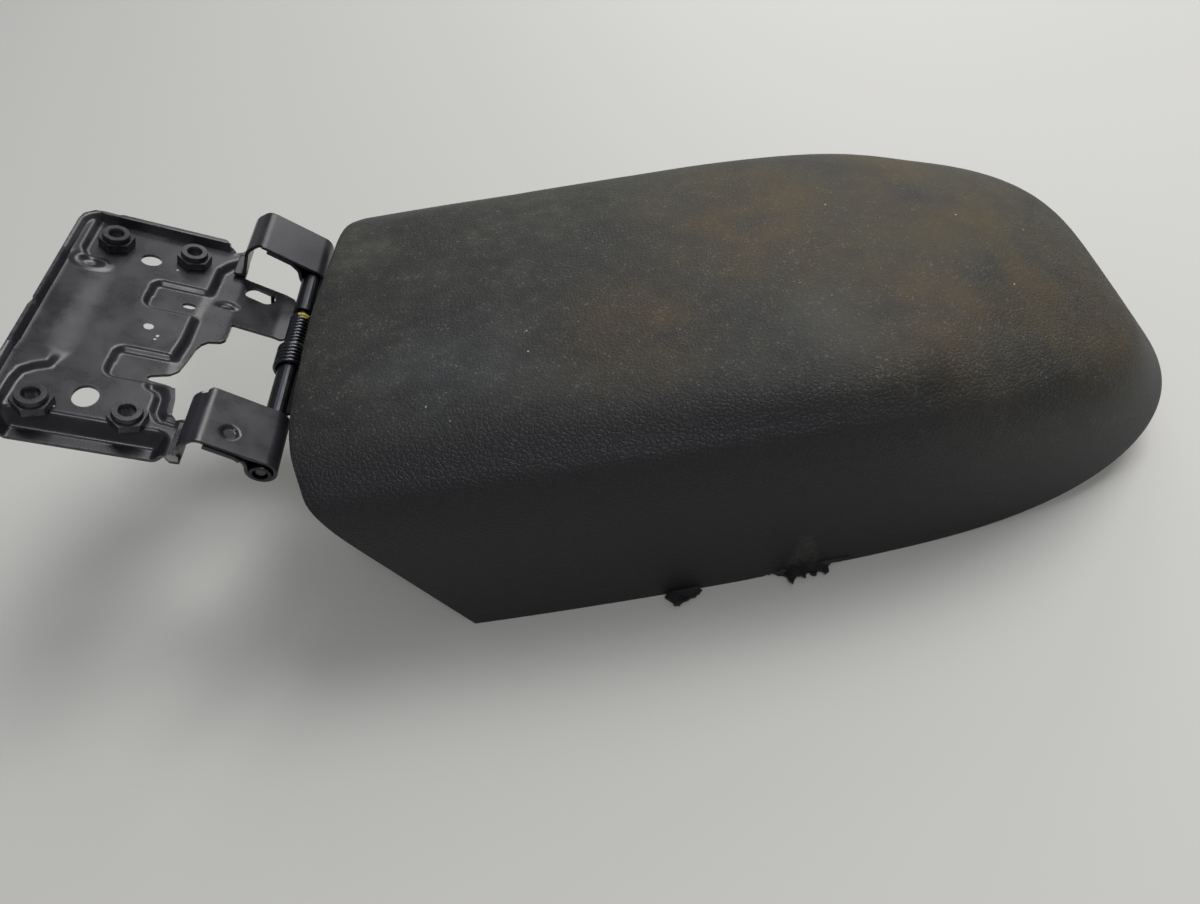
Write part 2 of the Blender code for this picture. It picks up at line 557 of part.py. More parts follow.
def build_plate(materials, axis):
    """Stamped plate: floor with beads and rims, two gooseneck arms and the middle tongue."""
    lines_u = [0.0270, 0.0310, 0.0345, 0.0360, 0.0372, 0.0388, 0.0395, 0.0420, 0.0500, 0.0585, 0.0602, 0.0680,
               0.0760, 0.0782, 0.0795, 0.0810, 0.0850, 0.0868, 0.0898, 0.0912, PLATE_END]
    lines_v = [PLATE_NEAR, -0.0534, -0.0486, -0.0446, -0.0434, -0.0360, -0.0292, -0.0278, -0.0262,
               -0.0200, -0.0132, -0.0118, 0.0000, 0.0110, 0.0126, 0.0200, 0.0280, 0.0300, 0.0333, 0.0347,
               0.0396, 0.0404, 0.0480, 0.0552, 0.0567, PLATE_FAR]
    bm = bmesh.new()
    top, under = {}, {}
    for i, u in enumerate(lines_u):
        for j, v in enumerate(lines_v):
            level = height_at(u, v)
            top[i, j] = bm.verts.new((-u, v, level))
            under[i, j] = bm.verts.new((-u, v, level - SHEET))
    last_u, last_v = len(lines_u) - 1, len(lines_v) - 1
    for i in range(last_u):
        for j in range(last_v):
            bm.faces.new((top[i, j], top[i + 1, j], top[i + 1, j + 1], top[i, j + 1]))
            bm.faces.new((under[i, j], under[i, j + 1], under[i + 1, j + 1], under[i + 1, j]))
    for i in range(last_u):
        bm.faces.new((top[i, 0], top[i + 1, 0], under[i + 1, 0], under[i, 0]))
        bm.faces.new((top[i, last_v], top[i + 1, last_v], under[i + 1, last_v], under[i, last_v]))
    for j in range(last_v):
        bm.faces.new((top[0, j], top[0, j + 1], under[0, j + 1], under[0, j]))
        bm.faces.new((top[last_u, j], top[last_u, j + 1], under[last_u, j + 1], under[last_u, j]))
    plate = add_object("hinge_plate", bm, materials["painted"], smooth=False)
    plate.parent = axis

    corner = 0.0050
    far_corner = [(PLATE_END - corner + corner * math.sin(a), PLATE_FAR - corner + corner * math.cos(a))
                  for a in (math.radians(15 * k) for k in range(7))]
    near_corner = [(PLATE_END - corner + corner * math.cos(a), PLATE_NEAR + corner - corner * math.sin(a))
                   for a in (math.radians(15 * k) for k in range(7))]
    outline = far_corner + near_corner
    outline += [(0.0330, PLATE_NEAR), (0.0280, PLATE_NEAR), (0.0280, -0.0430), (0.0335, -0.0430), (0.0345, -0.0400),
                (0.0352, -0.0300), (0.0375, -0.0262), (0.0440, -0.0245), (0.0462, -0.0228), (0.0452, -0.0208),
                (0.0400, -0.0196), (0.0370, -0.0160), (0.0352, -0.0030), (0.0345, 0.0010), (0.0280, 0.0025),
                (0.0280, 0.0555), (0.0350, 0.0560), (0.0370, 0.0570), (0.0370, PLATE_FAR)]
    frame = bmesh.new()
    prism(frame, [(-u, v) for u, v in outline], 2, -0.030, 0.010)
    trim = guide("plate_outline", frame)
    trim.parent = axis
    combine(plate, trim, "INTERSECT")

    arms = bmesh.new()
    path = sheet_outline(arm_path())
    for low, high in (NEAR_ARM, FAR_ARM):
        prism(arms, [(-p.x, p.y) for p in path], 1, low, high)
    solid = guide("plate_arms", arms)
    solid.parent = axis
    combine(plate, solid, "UNION")

    tongue = bmesh.new()
    step = 0.00012
    sections = [(0.0320, 0.0140, 0.0415, TONGUE_LEVEL + step), (0.0260, 0.0125, 0.0405, TONGUE_LEVEL + step),
                (0.0080, 0.0072, 0.0355, TONGUE_TIP_LEVEL), (TONGUE_TIP, 0.0085, 0.0340, TONGUE_TIP_LEVEL)]
    rings = []
    for u, low, high, level in sections:
        rings.append([tongue.verts.new((-u, low, level)), tongue.verts.new((-u, high, level)),
                      tongue.verts.new((-u, high, level - SHEET)), tongue.verts.new((-u, low, level - SHEET))])
    for a, b in zip(rings, rings[1:]):
        for k in range(4):
            tongue.faces.new((a[k], a[(k + 1) % 4], b[(k + 1) % 4], b[k]))
    tongue.faces.new(rings[0])
    tongue.faces.new(rings[-1])
    middle = guide("plate_tongue", tongue)
    middle.parent = axis
    combine(plate, middle, "UNION")

    holes = bmesh.new()
    low, high = -0.030, 0.004

    def slot(u, v, long_u, long_v, sides=20):
        points = [(-u + long_u / 2 * math.cos(a), v + long_v / 2 * math.sin(a))
                  for a in (2 * math.pi * k / sides for k in range(sides))]
        prism(holes, points, 2, low, high)
    slot(0.0630, 0.0390, 0.0080, 0.0068)
    slot(0.0635, -0.0390, 0.0085, 0.0105)
    slot(0.0437, 0.0190, 0.0052, 0.0030, 12)
    slot(0.0192, 0.0325, 0.0105, 0.0080)
    for u in NUT_U:
        for v in NUT_V:
            slot(u, v, NUT_BORE + 0.0008, NUT_BORE + 0.0008, 16)
    drill = guide("plate_holes", holes)
    drill.parent = axis
    combine(plate, drill, "DIFFERENCE")

    number = 1
    for u in NUT_U:
        for v in NUT_V:
            nut(materials, axis, "weld_nut_%d" % number, u, v)
            number += 1


def nut(materials, axis, name, u, v):
    """Hexagonal weld nut that narrows to a round top."""
    bm = bmesh.new()
    base = FLOOR_LEVEL + GAP
    corner = NUT_BASE_FLATS / 2 / math.cos(math.pi / 6)
    prism(bm, circle((-u, v), corner, 6, math.radians(20)), 2, base, base + NUT_BASE_HEIGHT)
    obj = add_object(name, bm, materials["painted"])
    obj.parent = axis
    collar = bmesh.new()
    rod(collar, [(NUT_TOP / 2 + 0.0004, base + 0.0010), (NUT_TOP / 2 + 0.0004, base + NUT_BASE_HEIGHT + 0.0004),
                 (NUT_TOP / 2, base + NUT_HEIGHT)], 24, (-u, v, 0))
    top = guide(name + "_collar", collar)
    top.parent = axis
    combine(obj, top, "UNION")
    bore = bmesh.new()
    rod(bore, [(NUT_BORE / 2, base - 0.001), (NUT_BORE / 2, base + NUT_HEIGHT - 0.0007),
               (NUT_BORE / 2 + 0.0007, base + NUT_HEIGHT + 0.0005)], 16, (-u, v, 0))
    hole = guide(name + "_bore", bore)
    hole.parent = axis
    combine(obj, hole, "DIFFERENCE")


def build_spring(materials, axis):
    """Torsion spring: wide coils by the near sleeve, narrow coils on the pin, a leg to the tongue's slot."""
    start = NEAR_SLEEVE_END - GAP
    points = [(0.0100, start, -LARGE_COIL_RADIUS), (0.0050, start, -LARGE_COIL_RADIUS)]
    along = start
    count = int((LARGE_COIL_TURNS + SMALL_COIL_TURNS) * COIL_STEPS)
    for i in range(count + 1):
        turns = i / COIL_STEPS
        blend = min(1.0, max(0.0, (turns - LARGE_COIL_TURNS + 0.5) / 1.0))
        radius = LARGE_COIL_RADIUS + (SMALL_COIL_RADIUS - LARGE_COIL_RADIUS) * blend
        angle = math.radians(-90) - 2 * math.pi * turns
        points.append((radius * math.cos(angle), along, radius * math.sin(angle)))
        along += (LARGE_PITCH + (SMALL_PITCH - LARGE_PITCH) * blend) / COIL_STEPS
    reach = SMALL_COIL_RADIUS
    points += [(reach, along, -0.0030), (reach - 0.0010, along + 0.0010, -0.0075),
               (reach - 0.0040, along + 0.0025, -0.0110), (reach - 0.0080, along + 0.0050, -0.0124),
               (-0.0120, 0.0290, -0.0124), (-0.0148, 0.0318, -0.0116), (-0.0158, 0.0328, -0.0090),
               (-0.0160, 0.0330, -0.0040)]
    curve = bpy.data.curves.new("torsion_spring", "CURVE")
    curve.dimensions = "3D"
    curve.bevel_depth = WIRE / 2
    curve.bevel_resolution = 1
    curve.use_fill_caps = True
    line = curve.splines.new("POLY")
    line.points.add(len(points) - 1)
    for point, place in zip(line.points, points):
        point.co = (*place, 1.0)
    curve.materials.append(materials["spring"])
    spring = bpy.data.objects.new("torsion_spring", curve)
    bpy.context.scene.collection.objects.link(spring)
    spring.parent = axis


def clear_scene():
    for obj in list(bpy.data.objects):
        bpy.data.objects.remove(obj, do_unlink=True)


def main():
    clear_scene()
    materials = {
        "skin": material("moulded_skin", (0.035, 0.036, 0.034), 0.62),
        "foam": material("cold_cure_foam", (0.55, 0.50, 0.36), 0.95),
        "plastic": material("black_plastic", (0.020, 0.020, 0.021), 0.55),
        "steel": material("zinc_steel", (0.20, 0.20, 0.21), 0.42, 1.0),
        "painted": material("black_painted_steel", (0.018, 0.018, 0.024), 0.35),
        "spring": material("spring_steel", (0.03, 0.03, 0.032), 0.40, 0.6),
        "screw": material("screw_steel", (0.30, 0.30, 0.31), 0.40, 1.0),
        "rubber": material("stop_rubber", (0.020, 0.020, 0.020), 0.85),
    }
    axis = bpy.data.objects.new("hinge_axis", None)
    bpy.context.scene.collection.objects.link(axis)
    axis.location = (SHIFT_X + AXIS_X, 0.0, AXIS_Z)
    axis.rotation_euler = (0.0, TILT, 0.0)
    build_lid(materials)
    build_bracket(materials)
    build_screws(materials)
    build_stops(materials)
    build_pin(materials, axis)
    build_plate(materials, axis)
    build_spring(materials, axis)


main()
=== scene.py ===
import json
import math

import bpy
from mathutils import Matrix, Vector, noise
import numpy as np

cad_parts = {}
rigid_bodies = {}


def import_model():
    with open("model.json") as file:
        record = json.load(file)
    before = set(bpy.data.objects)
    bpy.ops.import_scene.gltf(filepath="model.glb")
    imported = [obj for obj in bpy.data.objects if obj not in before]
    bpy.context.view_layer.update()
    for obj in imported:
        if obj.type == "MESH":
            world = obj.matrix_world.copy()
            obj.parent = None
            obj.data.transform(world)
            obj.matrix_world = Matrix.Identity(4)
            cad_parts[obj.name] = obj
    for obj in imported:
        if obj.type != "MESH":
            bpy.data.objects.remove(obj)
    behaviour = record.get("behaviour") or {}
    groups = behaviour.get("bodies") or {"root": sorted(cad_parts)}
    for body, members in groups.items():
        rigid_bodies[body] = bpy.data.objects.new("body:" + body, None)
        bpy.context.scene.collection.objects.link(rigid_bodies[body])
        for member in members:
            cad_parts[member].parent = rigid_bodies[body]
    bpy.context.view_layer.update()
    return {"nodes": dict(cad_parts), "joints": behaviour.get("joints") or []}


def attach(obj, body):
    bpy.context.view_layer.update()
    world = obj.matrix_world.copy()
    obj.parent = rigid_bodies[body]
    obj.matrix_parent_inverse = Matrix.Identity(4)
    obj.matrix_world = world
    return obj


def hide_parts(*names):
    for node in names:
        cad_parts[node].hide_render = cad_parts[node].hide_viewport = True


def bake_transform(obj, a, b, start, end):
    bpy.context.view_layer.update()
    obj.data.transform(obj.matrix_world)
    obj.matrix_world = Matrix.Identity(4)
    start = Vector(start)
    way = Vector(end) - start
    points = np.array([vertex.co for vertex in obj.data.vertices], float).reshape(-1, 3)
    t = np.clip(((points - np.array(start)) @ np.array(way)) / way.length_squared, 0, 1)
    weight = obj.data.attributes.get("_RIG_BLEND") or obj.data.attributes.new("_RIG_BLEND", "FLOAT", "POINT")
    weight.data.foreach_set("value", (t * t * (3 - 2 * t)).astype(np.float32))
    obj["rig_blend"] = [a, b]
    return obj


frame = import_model()
nodes = frame["nodes"]
axisPlace = Vector(frame["joints"][0]["pos_m"])          # middle of the hinge pin
mm = 0.001
noise.seed_set(5)                           # the torn skin's roughness is the same each run


# small helpers

def deselectAll():
    if bpy.context.object and bpy.context.object.mode != "OBJECT":
        bpy.ops.object.mode_set(mode="OBJECT")
    for other in bpy.context.view_layer.objects:
        other.select_set(False)


def makeActive(obj):
    deselectAll()
    obj.select_set(True)
    bpy.context.view_layer.objects.active = obj


def applyModifier(obj, kind, **settings):
    made = obj.modifiers.new(kind.lower(), kind)
    for key, value in settings.items():
        setattr(made, key, value)
    makeActive(obj)
    bpy.ops.object.modifier_apply(modifier=made.name)


def shapedGrid(name, rows, columns, place):
    # a grid primitive whose crossings are pulled to their places, row by row
    deselectAll()
    bpy.ops.mesh.primitive_grid_add(x_subdivisions=columns - 1, y_subdivisions=rows - 1, size=1.0)
    obj = bpy.context.object
    obj.name = name
    for index, vert in enumerate(obj.data.vertices):
        vert.co = place(index // columns, index % columns)
    return obj


def openMesh(obj, action="SELECT"):
    # into edit mode with everything selected, or nothing
    makeActive(obj)
    bpy.ops.object.mode_set(mode="EDIT")
    bpy.ops.mesh.select_all(action=action)


def closeMesh():
    bpy.ops.object.mode_set(mode="OBJECT")


def openAt(obj, chosen):
    # into edit mode with only the chosen vertices selected
    openMesh(obj, "DESELECT")
    closeMesh()
    for vert in obj.data.vertices:
        vert.select = chosen(vert)
    bpy.ops.object.mode_set(mode="EDIT")


def tidyMesh(obj, merge=0.00001):
    openMesh(obj)
    bpy.ops.mesh.remove_doubles(threshold=merge)
    bpy.ops.mesh.delete_loose()
    bpy.ops.mesh.select_all(action="SELECT")
    bpy.ops.mesh.normals_make_consistent(inside=False)
    closeMesh()


def smoothShade(obj, degrees=38):
    makeActive(obj)
    bpy.ops.object.shade_smooth_by_angle(angle=math.radians(degrees))


def settle(obj):
    # writes the object's place into its mesh and leaves the object at the origin
    makeActive(obj)
    bpy.ops.object.transform_apply(location=True, rotation=True, scale=True)


def clamp(value, low=0.0, high=1.0):
    return max(low, min(high, value))


def ease(value):
    value = clamp(value)
    return value * value * (3 - 2 * value)


# colours and material nodes

def hexColour(text):
    def linear(part):
        part = int(part, 16) / 255
        return part / 12.92 if part <= 0.04045 else ((part + 0.055) / 1.055) ** 2.4
    return tuple(linear(text[i:i + 2]) for i in (1, 3, 5)) + (1.0,)


def addNode(tree, kind, settings=None, links=None):
    made = tree.nodes.new(kind)
    for key, value in (settings or {}).items():
        if isinstance(key, str) and hasattr(made, key):
            setattr(made, key, value)
        else:
            made.inputs[key].default_value = value
    for key, source in (links or {}).items():
        tree.links.new(source, made.inputs[key])
    return made


def newFinish(name, colour, roughness, metallic=0.0):
    made = bpy.data.materials.new(name)
    made.use_nodes = True
    tree = made.node_tree
    shader = tree.nodes["Principled BSDF"]
    shader.inputs["Base Color"].default_value = hexColour(colour)
    shader.inputs["Roughness"].default_value = roughness
    shader.inputs["Metallic"].default_value = metallic
    place = addNode(tree, "ShaderNodeTexCoord").outputs["Object"]
    return made, tree, shader, place


def noiseAt(tree, place, size, detail=3.0, rough=0.55):
    return addNode(tree, "ShaderNodeTexNoise", {"Scale": 1 / size, "Detail": detail, "Roughness": rough},
                   {"Vector": place}).outputs["Fac"]


def bordersAt(tree, place, size):
    # distance to the borders between irregular cells
    return addNode(tree, "ShaderNodeTexVoronoi", {"feature": "DISTANCE_TO_EDGE", "Scale": 1 / size},
                   {"Vector": place}).outputs["Distance"]


def distanceTo(tree, place, centre):
    return addNode(tree, "ShaderNodeVectorMath", {"operation": "DISTANCE", 1: centre},
                   {0: place}).outputs["Value"]


def ramp(tree, value, low, high, outLow=0.0, outHigh=1.0):
    return addNode(tree, "ShaderNodeMapRange",
                   {"interpolation_type": "SMOOTHSTEP", 1: low, 2: high, 3: outLow, 4: outHigh},
                   {0: value}).outputs[0]


def mathOf(tree, operation, *values):
    # values are numbers or sockets
    made = addNode(tree, "ShaderNodeMath", {"operation": operation})
    for index, value in enumerate(values):
        if isinstance(value, float):
            made.inputs[index].default_value = value
        else:
            tree.links.new(value, made.inputs[index])
    return made.outputs[0]


def times(tree, product, *factors):
    for factor in factors:
        product = mathOf(tree, "MULTIPLY", product, factor)
    return product


def mixed(tree, amount, first, second):
    made = addNode(tree, "ShaderNodeMix", {"data_type": "RGBA"}, {0: amount})
    for socket, source in ((6, first), (7, second)):
        if isinstance(source, str):
            made.inputs[socket].default_value = hexColour(source)
        else:
            tree.links.new(source, made.inputs[socket])
    return made.outputs[2]


def bumped(tree, shader, height, strength, distance):
    made = addNode(tree, "ShaderNodeBump", {"Strength": strength, "Distance": distance}, {"Height": height})
    tree.links.new(made.outputs[0], shader.inputs["Normal"])


# the plate's rise from the pin in the open pose
tiltAngle = math.radians(28.7)


def platePoint(u, v, n):
    # frame place, in metres, of a spot given along, across and above the plate in millimetres
    return (axisPlace.x + (-u * math.cos(tiltAngle) + n * math.sin(tiltAngle)) * mm, v * mm,
            axisPlace.z + (u * math.sin(tiltAngle) + n * math.cos(tiltAngle)) * mm)


def paint(obj, finish):
    obj.data.materials.clear()
    obj.data.materials.append(finish)


# moulded polyurethane skin: black, pebbled like leather, greyed by dust, lightened towards the far side and
# the nose by painted sheen, and stained ochre where it lay
skinLook = {
    "black": "#1d1d20", "dust": "#5e5e55", "pores": "#8d8a80", "specks": "#b9b7ae", "scuff": "#8b8a84",
    "backing": "#4d4a44", "pebble": 1.7 * mm, "fine": 0.55 * mm, "pebbleDepth": 0.20 * mm,
    # from the clean sides to the dusty top
    "roughness": (0.52, 0.70), "sheen": (0.40, 0.24),
    # least and most dust in its clouds, then where it thickens across and along, and by what factors; this
    # thickening towards the far side and the nose is painted sheen
    "dustShare": (0.12, 0.38), "dustAndSheenAcross": (-0.02, 0.075, 0.80, 1.55), "dustAndSheenAlong": (0.09, 0.20, 1.0, 1.5),
    # khaki, ochre and worn grey: colour, softness, share, and spots as a centre and a radius in millimetres
    "stains": [
        ("#565036", 0.45, 0.55, [((135, 45, 84), 175)]),
        ("#5c4824", 0.34, 0.52, [((12, -31, 86), 40), ((110, -44, 84), 50), ((168, -30, 72), 50),
                                 ((60, 20, 86), 60), ((130, 30, 80), 60)]),
        ("#4a4e52", 0.25, 0.36, [((79, -46, 85), 30), ((128, -62, 76), 20), ((-60, -40, 86), 46)]),
    ],
    "scuffed": [((88, -68, 81), 34)],
}


def makeSkin():
    made, tree, shader, place = newFinish("mouldedSkin", skinLook["black"], skinLook["roughness"][0])

    def attribute(name):
        return addNode(tree, "ShaderNodeAttribute", {"attribute_name": name}).outputs["Fac"]

    def spots(group, softness):
        total = None
        wobble = noiseAt(tree, place, 22 * mm, 5.0)
        for centre, radius in group:
            far = distanceTo(tree, place, [c * mm for c in centre])
            mask = ramp(tree, far, 0.15 * radius * mm, radius * mm, 1.0, 0.0)
            total = mathOf(tree, "MAXIMUM", total, mask) if total else mask
        return times(tree, total, ramp(tree, wobble, 0.5 - softness, 0.5 + softness))

    top, ridge, shoulder = attribute("topFace"), attribute("ridgeLine"), attribute("shoulderFace")
    cloud = noiseAt(tree, place, 45 * mm, 6.0, 0.6)
    fineCloud = noiseAt(tree, place, 6 * mm, 5.0, 0.65)
    grit = noiseAt(tree, place, 0.9 * mm, 3.0, 0.6)
    # dust lies in clouds, and its grey is raised towards the far side and the nose as painted sheen
    where = addNode(tree, "ShaderNodeSeparateXYZ", {}, {0: place})
    dust = times(tree, top, ramp(tree, cloud, 0.25, 0.75, *skinLook["dustShare"]),
                 ramp(tree, fineCloud, 0.2, 0.8, 0.60, 1.25),
                 ramp(tree, where.outputs[1], *skinLook["dustAndSheenAcross"]),
                 ramp(tree, where.outputs[0], *skinLook["dustAndSheenAlong"]))
    colour = mixed(tree, dust, skinLook["black"], skinLook["dust"])
    for tint, softness, share, group in skinLook["stains"]:
        stain = times(tree, spots(group, softness), top, share)
        colour = mixed(tree, stain, colour, tint)
    # pale dust caught in patches of the pores
    pores = times(tree, ramp(tree, grit, 0.56, 0.68), ramp(tree, fineCloud, 0.40, 0.62), top, 0.40)
    colour = mixed(tree, pores, colour, skinLook["pores"])
    # scattered white specks
    dots = addNode(tree, "ShaderNodeTexVoronoi", {"Scale": 1 / (9 * mm)}, {"Vector": place})
    rare = addNode(tree, "ShaderNodeSeparateColor", {}, {0: dots.outputs["Color"]}).outputs[0]
    speck = times(tree, ramp(tree, dots.outputs["Distance"], 0.03, 0.055, 1.0, 0.0),
                  ramp(tree, rare, 0.80, 0.84), top, 0.75)
    colour = mixed(tree, speck, colour, skinLook["specks"])
    # fine scuffs on the ridge
    rub = times(tree, ridge, spots(skinLook["scuffed"], 0.3),
                ramp(tree, noiseAt(tree, place, 0.9 * mm, 4.0), 0.55, 0.68), 0.55)
    colour = mixed(tree, rub, colour, skinLook["scuff"])
    # bared backing over the tear
    bared = times(tree, attribute("tornEdge"),
                  ramp(tree, noiseAt(tree, place, 1.6 * mm, 5.0), 0.36, 0.62, 0.05, 0.5))
    colour = mixed(tree, bared, colour, skinLook["backing"])
    tree.links.new(colour, shader.inputs["Base Color"])
    tree.links.new(ramp(tree, top, 0.0, 1.0, *skinLook["sheen"]), shader.inputs["Specular IOR Level"])
    tree.links.new(ramp(tree, dust, 0.0, 0.6, *skinLook["roughness"]), shader.inputs["Roughness"])
    # pebbles with narrow valleys, boldest on the shoulder and flattened on the top and the skirt
    pebbles = ramp(tree, bordersAt(tree, place, skinLook["pebble"]), 0.0, 0.22)
    small = ramp(tree, bordersAt(tree, place, skinLook["fine"]), 0.0, 0.25)
    bold = mathOf(tree, "MULTIPLY_ADD", shoulder, 0.65, 0.35)
    height = mathOf(tree, "MULTIPLY_ADD", small, 0.25, times(tree, pebbles, bold))
    bumped(tree, shader, height, 0.85, skinLook["pebbleDepth"])
    return made


# electro-coated and satin black painted steel: slightly blue, rubbed grey on edges, chipped to bright metal
paintLook = {
    "black": "#1d1c21", "haze": "#2b2a30", "rub": "#4a4b51", "chip": "#c9c8c4", "roughness": (0.24, 0.40),
    # chips where the paint is gone: u, v and n on the plate and a radius, in millimetres
    "chips": [(53.9, 1.0, -7.5, 1.7), (49.7, -3.0, -7.5, 0.55), (50.2, -5.0, -7.5, 0.4),
              (52.5, 36.3, -7.5, 0.5), (27.8, -47.6, 3.0, 1.5), (23.3, -41.8, 11.0, 1.5),
              (71.0, -46.0, -7.5, 0.3)],
}


def makePaint():
    made, tree, shader, place = newFinish("satinBlackPaint", paintLook["black"], paintLook["roughness"][0])
    haze = noiseAt(tree, place, 14 * mm, 5.0, 0.6)
    grain = noiseAt(tree, place, 0.8 * mm, 3.0, 0.5)
    sharpness = addNode(tree, "ShaderNodeNewGeometry").outputs["Pointiness"]
    rubbed = times(tree, ramp(tree, sharpness, 0.52, 0.60),
                   ramp(tree, noiseAt(tree, place, 2.2 * mm, 4.0), 0.35, 0.65), 0.55)
    colour = mixed(tree, ramp(tree, haze, 0.35, 0.8), paintLook["black"], paintLook["haze"])
    colour = mixed(tree, rubbed, colour, paintLook["rub"])
    ragged = times(tree, noiseAt(tree, place, 1.1 * mm, 3.0), 1.6 * mm)
    for u, v, n, radius in paintLook["chips"]:
        edge = mathOf(tree, "ADD", distanceTo(tree, place, platePoint(u, v, n)), ragged)
        chip = ramp(tree, edge, (radius + 0.65) * mm, (radius + 0.80) * mm, 1.0, 0.0)
        colour = mixed(tree, times(tree, chip, 0.85), colour, paintLook["chip"])
    tree.links.new(colour, shader.inputs["Base Color"])
    tree.links.new(ramp(tree, haze, 0.3, 0.8, *paintLook["roughness"]), shader.inputs["Roughness"])
    bumped(tree, shader, grain, 0.12, 0.05 * mm)
    return made


# inspection mark: a dab of yellow enamel over the last coils of the spring and the end of the far sleeve
dab = {"yellow": "#b9a43c", "dirt": "#6e6430", "spot": (-0.8, 15.2, 4.4), "radius": 3.6}


def makeBareSteel(name, colour, roughness, rust="#4a3a2c", rustShare=0.25, dabbed=False):
    # drawn steel tube and rod: dull, with lines along the draw and a little rust in the pores
    made, tree, shader, place = newFinish(name, colour, roughness, 1.0)
    drawn = addNode(tree, "ShaderNodeMapping", {"Scale": (1.0, 0.06, 1.0)}, {"Vector": place}).outputs[0]
    lines = noiseAt(tree, drawn, 0.35 * mm, 4.0)
    patch = noiseAt(tree, place, 5 * mm, 5.0)
    tint = mixed(tree, times(tree, ramp(tree, patch, 0.52, 0.75), rustShare), colour, rust)
    if dabbed:
        ragged = times(tree, noiseAt(tree, place, 2.0 * mm, 3.0), 2.6 * mm)
        edge = mathOf(tree, "ADD", distanceTo(tree, place, platePoint(*dab["spot"])), ragged)
        mark = ramp(tree, edge, dab["radius"] * mm, (dab["radius"] + 0.5) * mm, 1.0, 0.0)
        smear = ramp(tree, noiseAt(tree, place, 1.2 * mm, 3.0), 0.50, 0.66)
        tint = mixed(tree, mark, tint, mixed(tree, smear, dab["yellow"], dab["dirt"]))
        tree.links.new(mathOf(tree, "SUBTRACT", 1.0, mark), shader.inputs["Metallic"])
    tree.links.new(tint, shader.inputs["Base Color"])
    tree.links.new(ramp(tree, lines, 0.2, 0.8, roughness - 0.08, roughness + 0.12),
                   shader.inputs["Roughness"])
    bumped(tree, shader, lines, 0.18, 0.04 * mm)
    return made


def makePlastic(name, colour, grainSize, roughness):
    # injection-moulded ABS or rubber: fine spark-eroded grain, slight dust
    made, tree, shader, place = newFinish(name, colour, roughness)
    grain = noiseAt(tree, place, grainSize, 2.0)
    dust = ramp(tree, noiseAt(tree, place, 20 * mm, 5.0), 0.5, 0.9, 0.0, 0.25)
    tree.links.new(mixed(tree, dust, colour, "#6b6860"), shader.inputs["Base Color"])
    bumped(tree, shader, grain, 0.3, 0.06 * mm)
    return made


def makeFoam():
    # cold-cured polyurethane foam: open cells about 0.8 mm across, yellowed
    made, tree, shader, place = newFinish("curedFoam", "#c0b084", 0.95)
    cells = addNode(tree, "ShaderNodeTexVoronoi", {"Scale": 1 / (0.8 * mm)},
                    {"Vector": place}).outputs["Distance"]
    # painted shade: the hollows of the open cells take the darker yellow, their walls the paler
    tree.links.new(mixed(tree, ramp(tree, cells, 0.1, 0.6), "#7d7250", "#c9ba8e"),
                   shader.inputs["Base Color"])
    bumped(tree, shader, cells, 0.7, 0.3 * mm)
    return made


skin = makeSkin()
satinPaint = makePaint()
sleeveSteel = makeBareSteel("drawnTubeSteel", "#3a3b3f", 0.36, "#2a211b", 0.30, dabbed=True)
pinSteel = makeBareSteel("pinSteel", "#5d5b59", 0.42, "#5a4029", 0.45)
bracketSteel = makeBareSteel("blackedSteel", "#33343a", 0.42)
springSteel = makeBareSteel("oilTemperedWire", "#4a4b50", 0.26, "#3a2c22", 0.2, dabbed=True)
screwZinc = makeBareSteel("zincPlate", "#a3a5a6", 0.36, "#7d7a6a", 0.3)
panPlastic = makePlastic("mouldedAbs", "#1c1c1e", 0.5 * mm, 0.55)
stopRubber = makePlastic("mouldedRubber", "#191919", 0.3 * mm, 0.8)
foam = makeFoam()
print("materials made")


# padded cover
cover = {
    "top": 84.0, "topFall": 8.9, "crown": 3.1, "crossCrown": 3.0,
    "lengths": (252.7, 299.2, 327.2), "widths": (61.5, 86.5, 94.4),
    "tapers": (-0.35, 0.15, 0.25), "along": (5.92, 7.22, 8.30), "across": (2.30, 4.58, 3.12),
    "dropRear": 13.9, "dropNose": 17.8, "riseStart": 211.9, "rise": 20.1,
    "rearRound": 4.5, "creaseFillet": 0.24, "ridgeFillet": 0.34,
    "cutTop": (0.4, 82.0), "cutFoot": (45.0, 0.0), "wall": 1.8, "bulge": 3.1, "edgeRound": 0.45,
    "tearAt": 172.0, "tearLong": 20.0, "noseAt": 252, "noseReach": 34, "noseAbove": 0.056,
    # metres from the cover's own origin at its rear end to the frame's
    "shiftX": axisPlace.x + 0.0138,
}
longest = cover["lengths"][2]


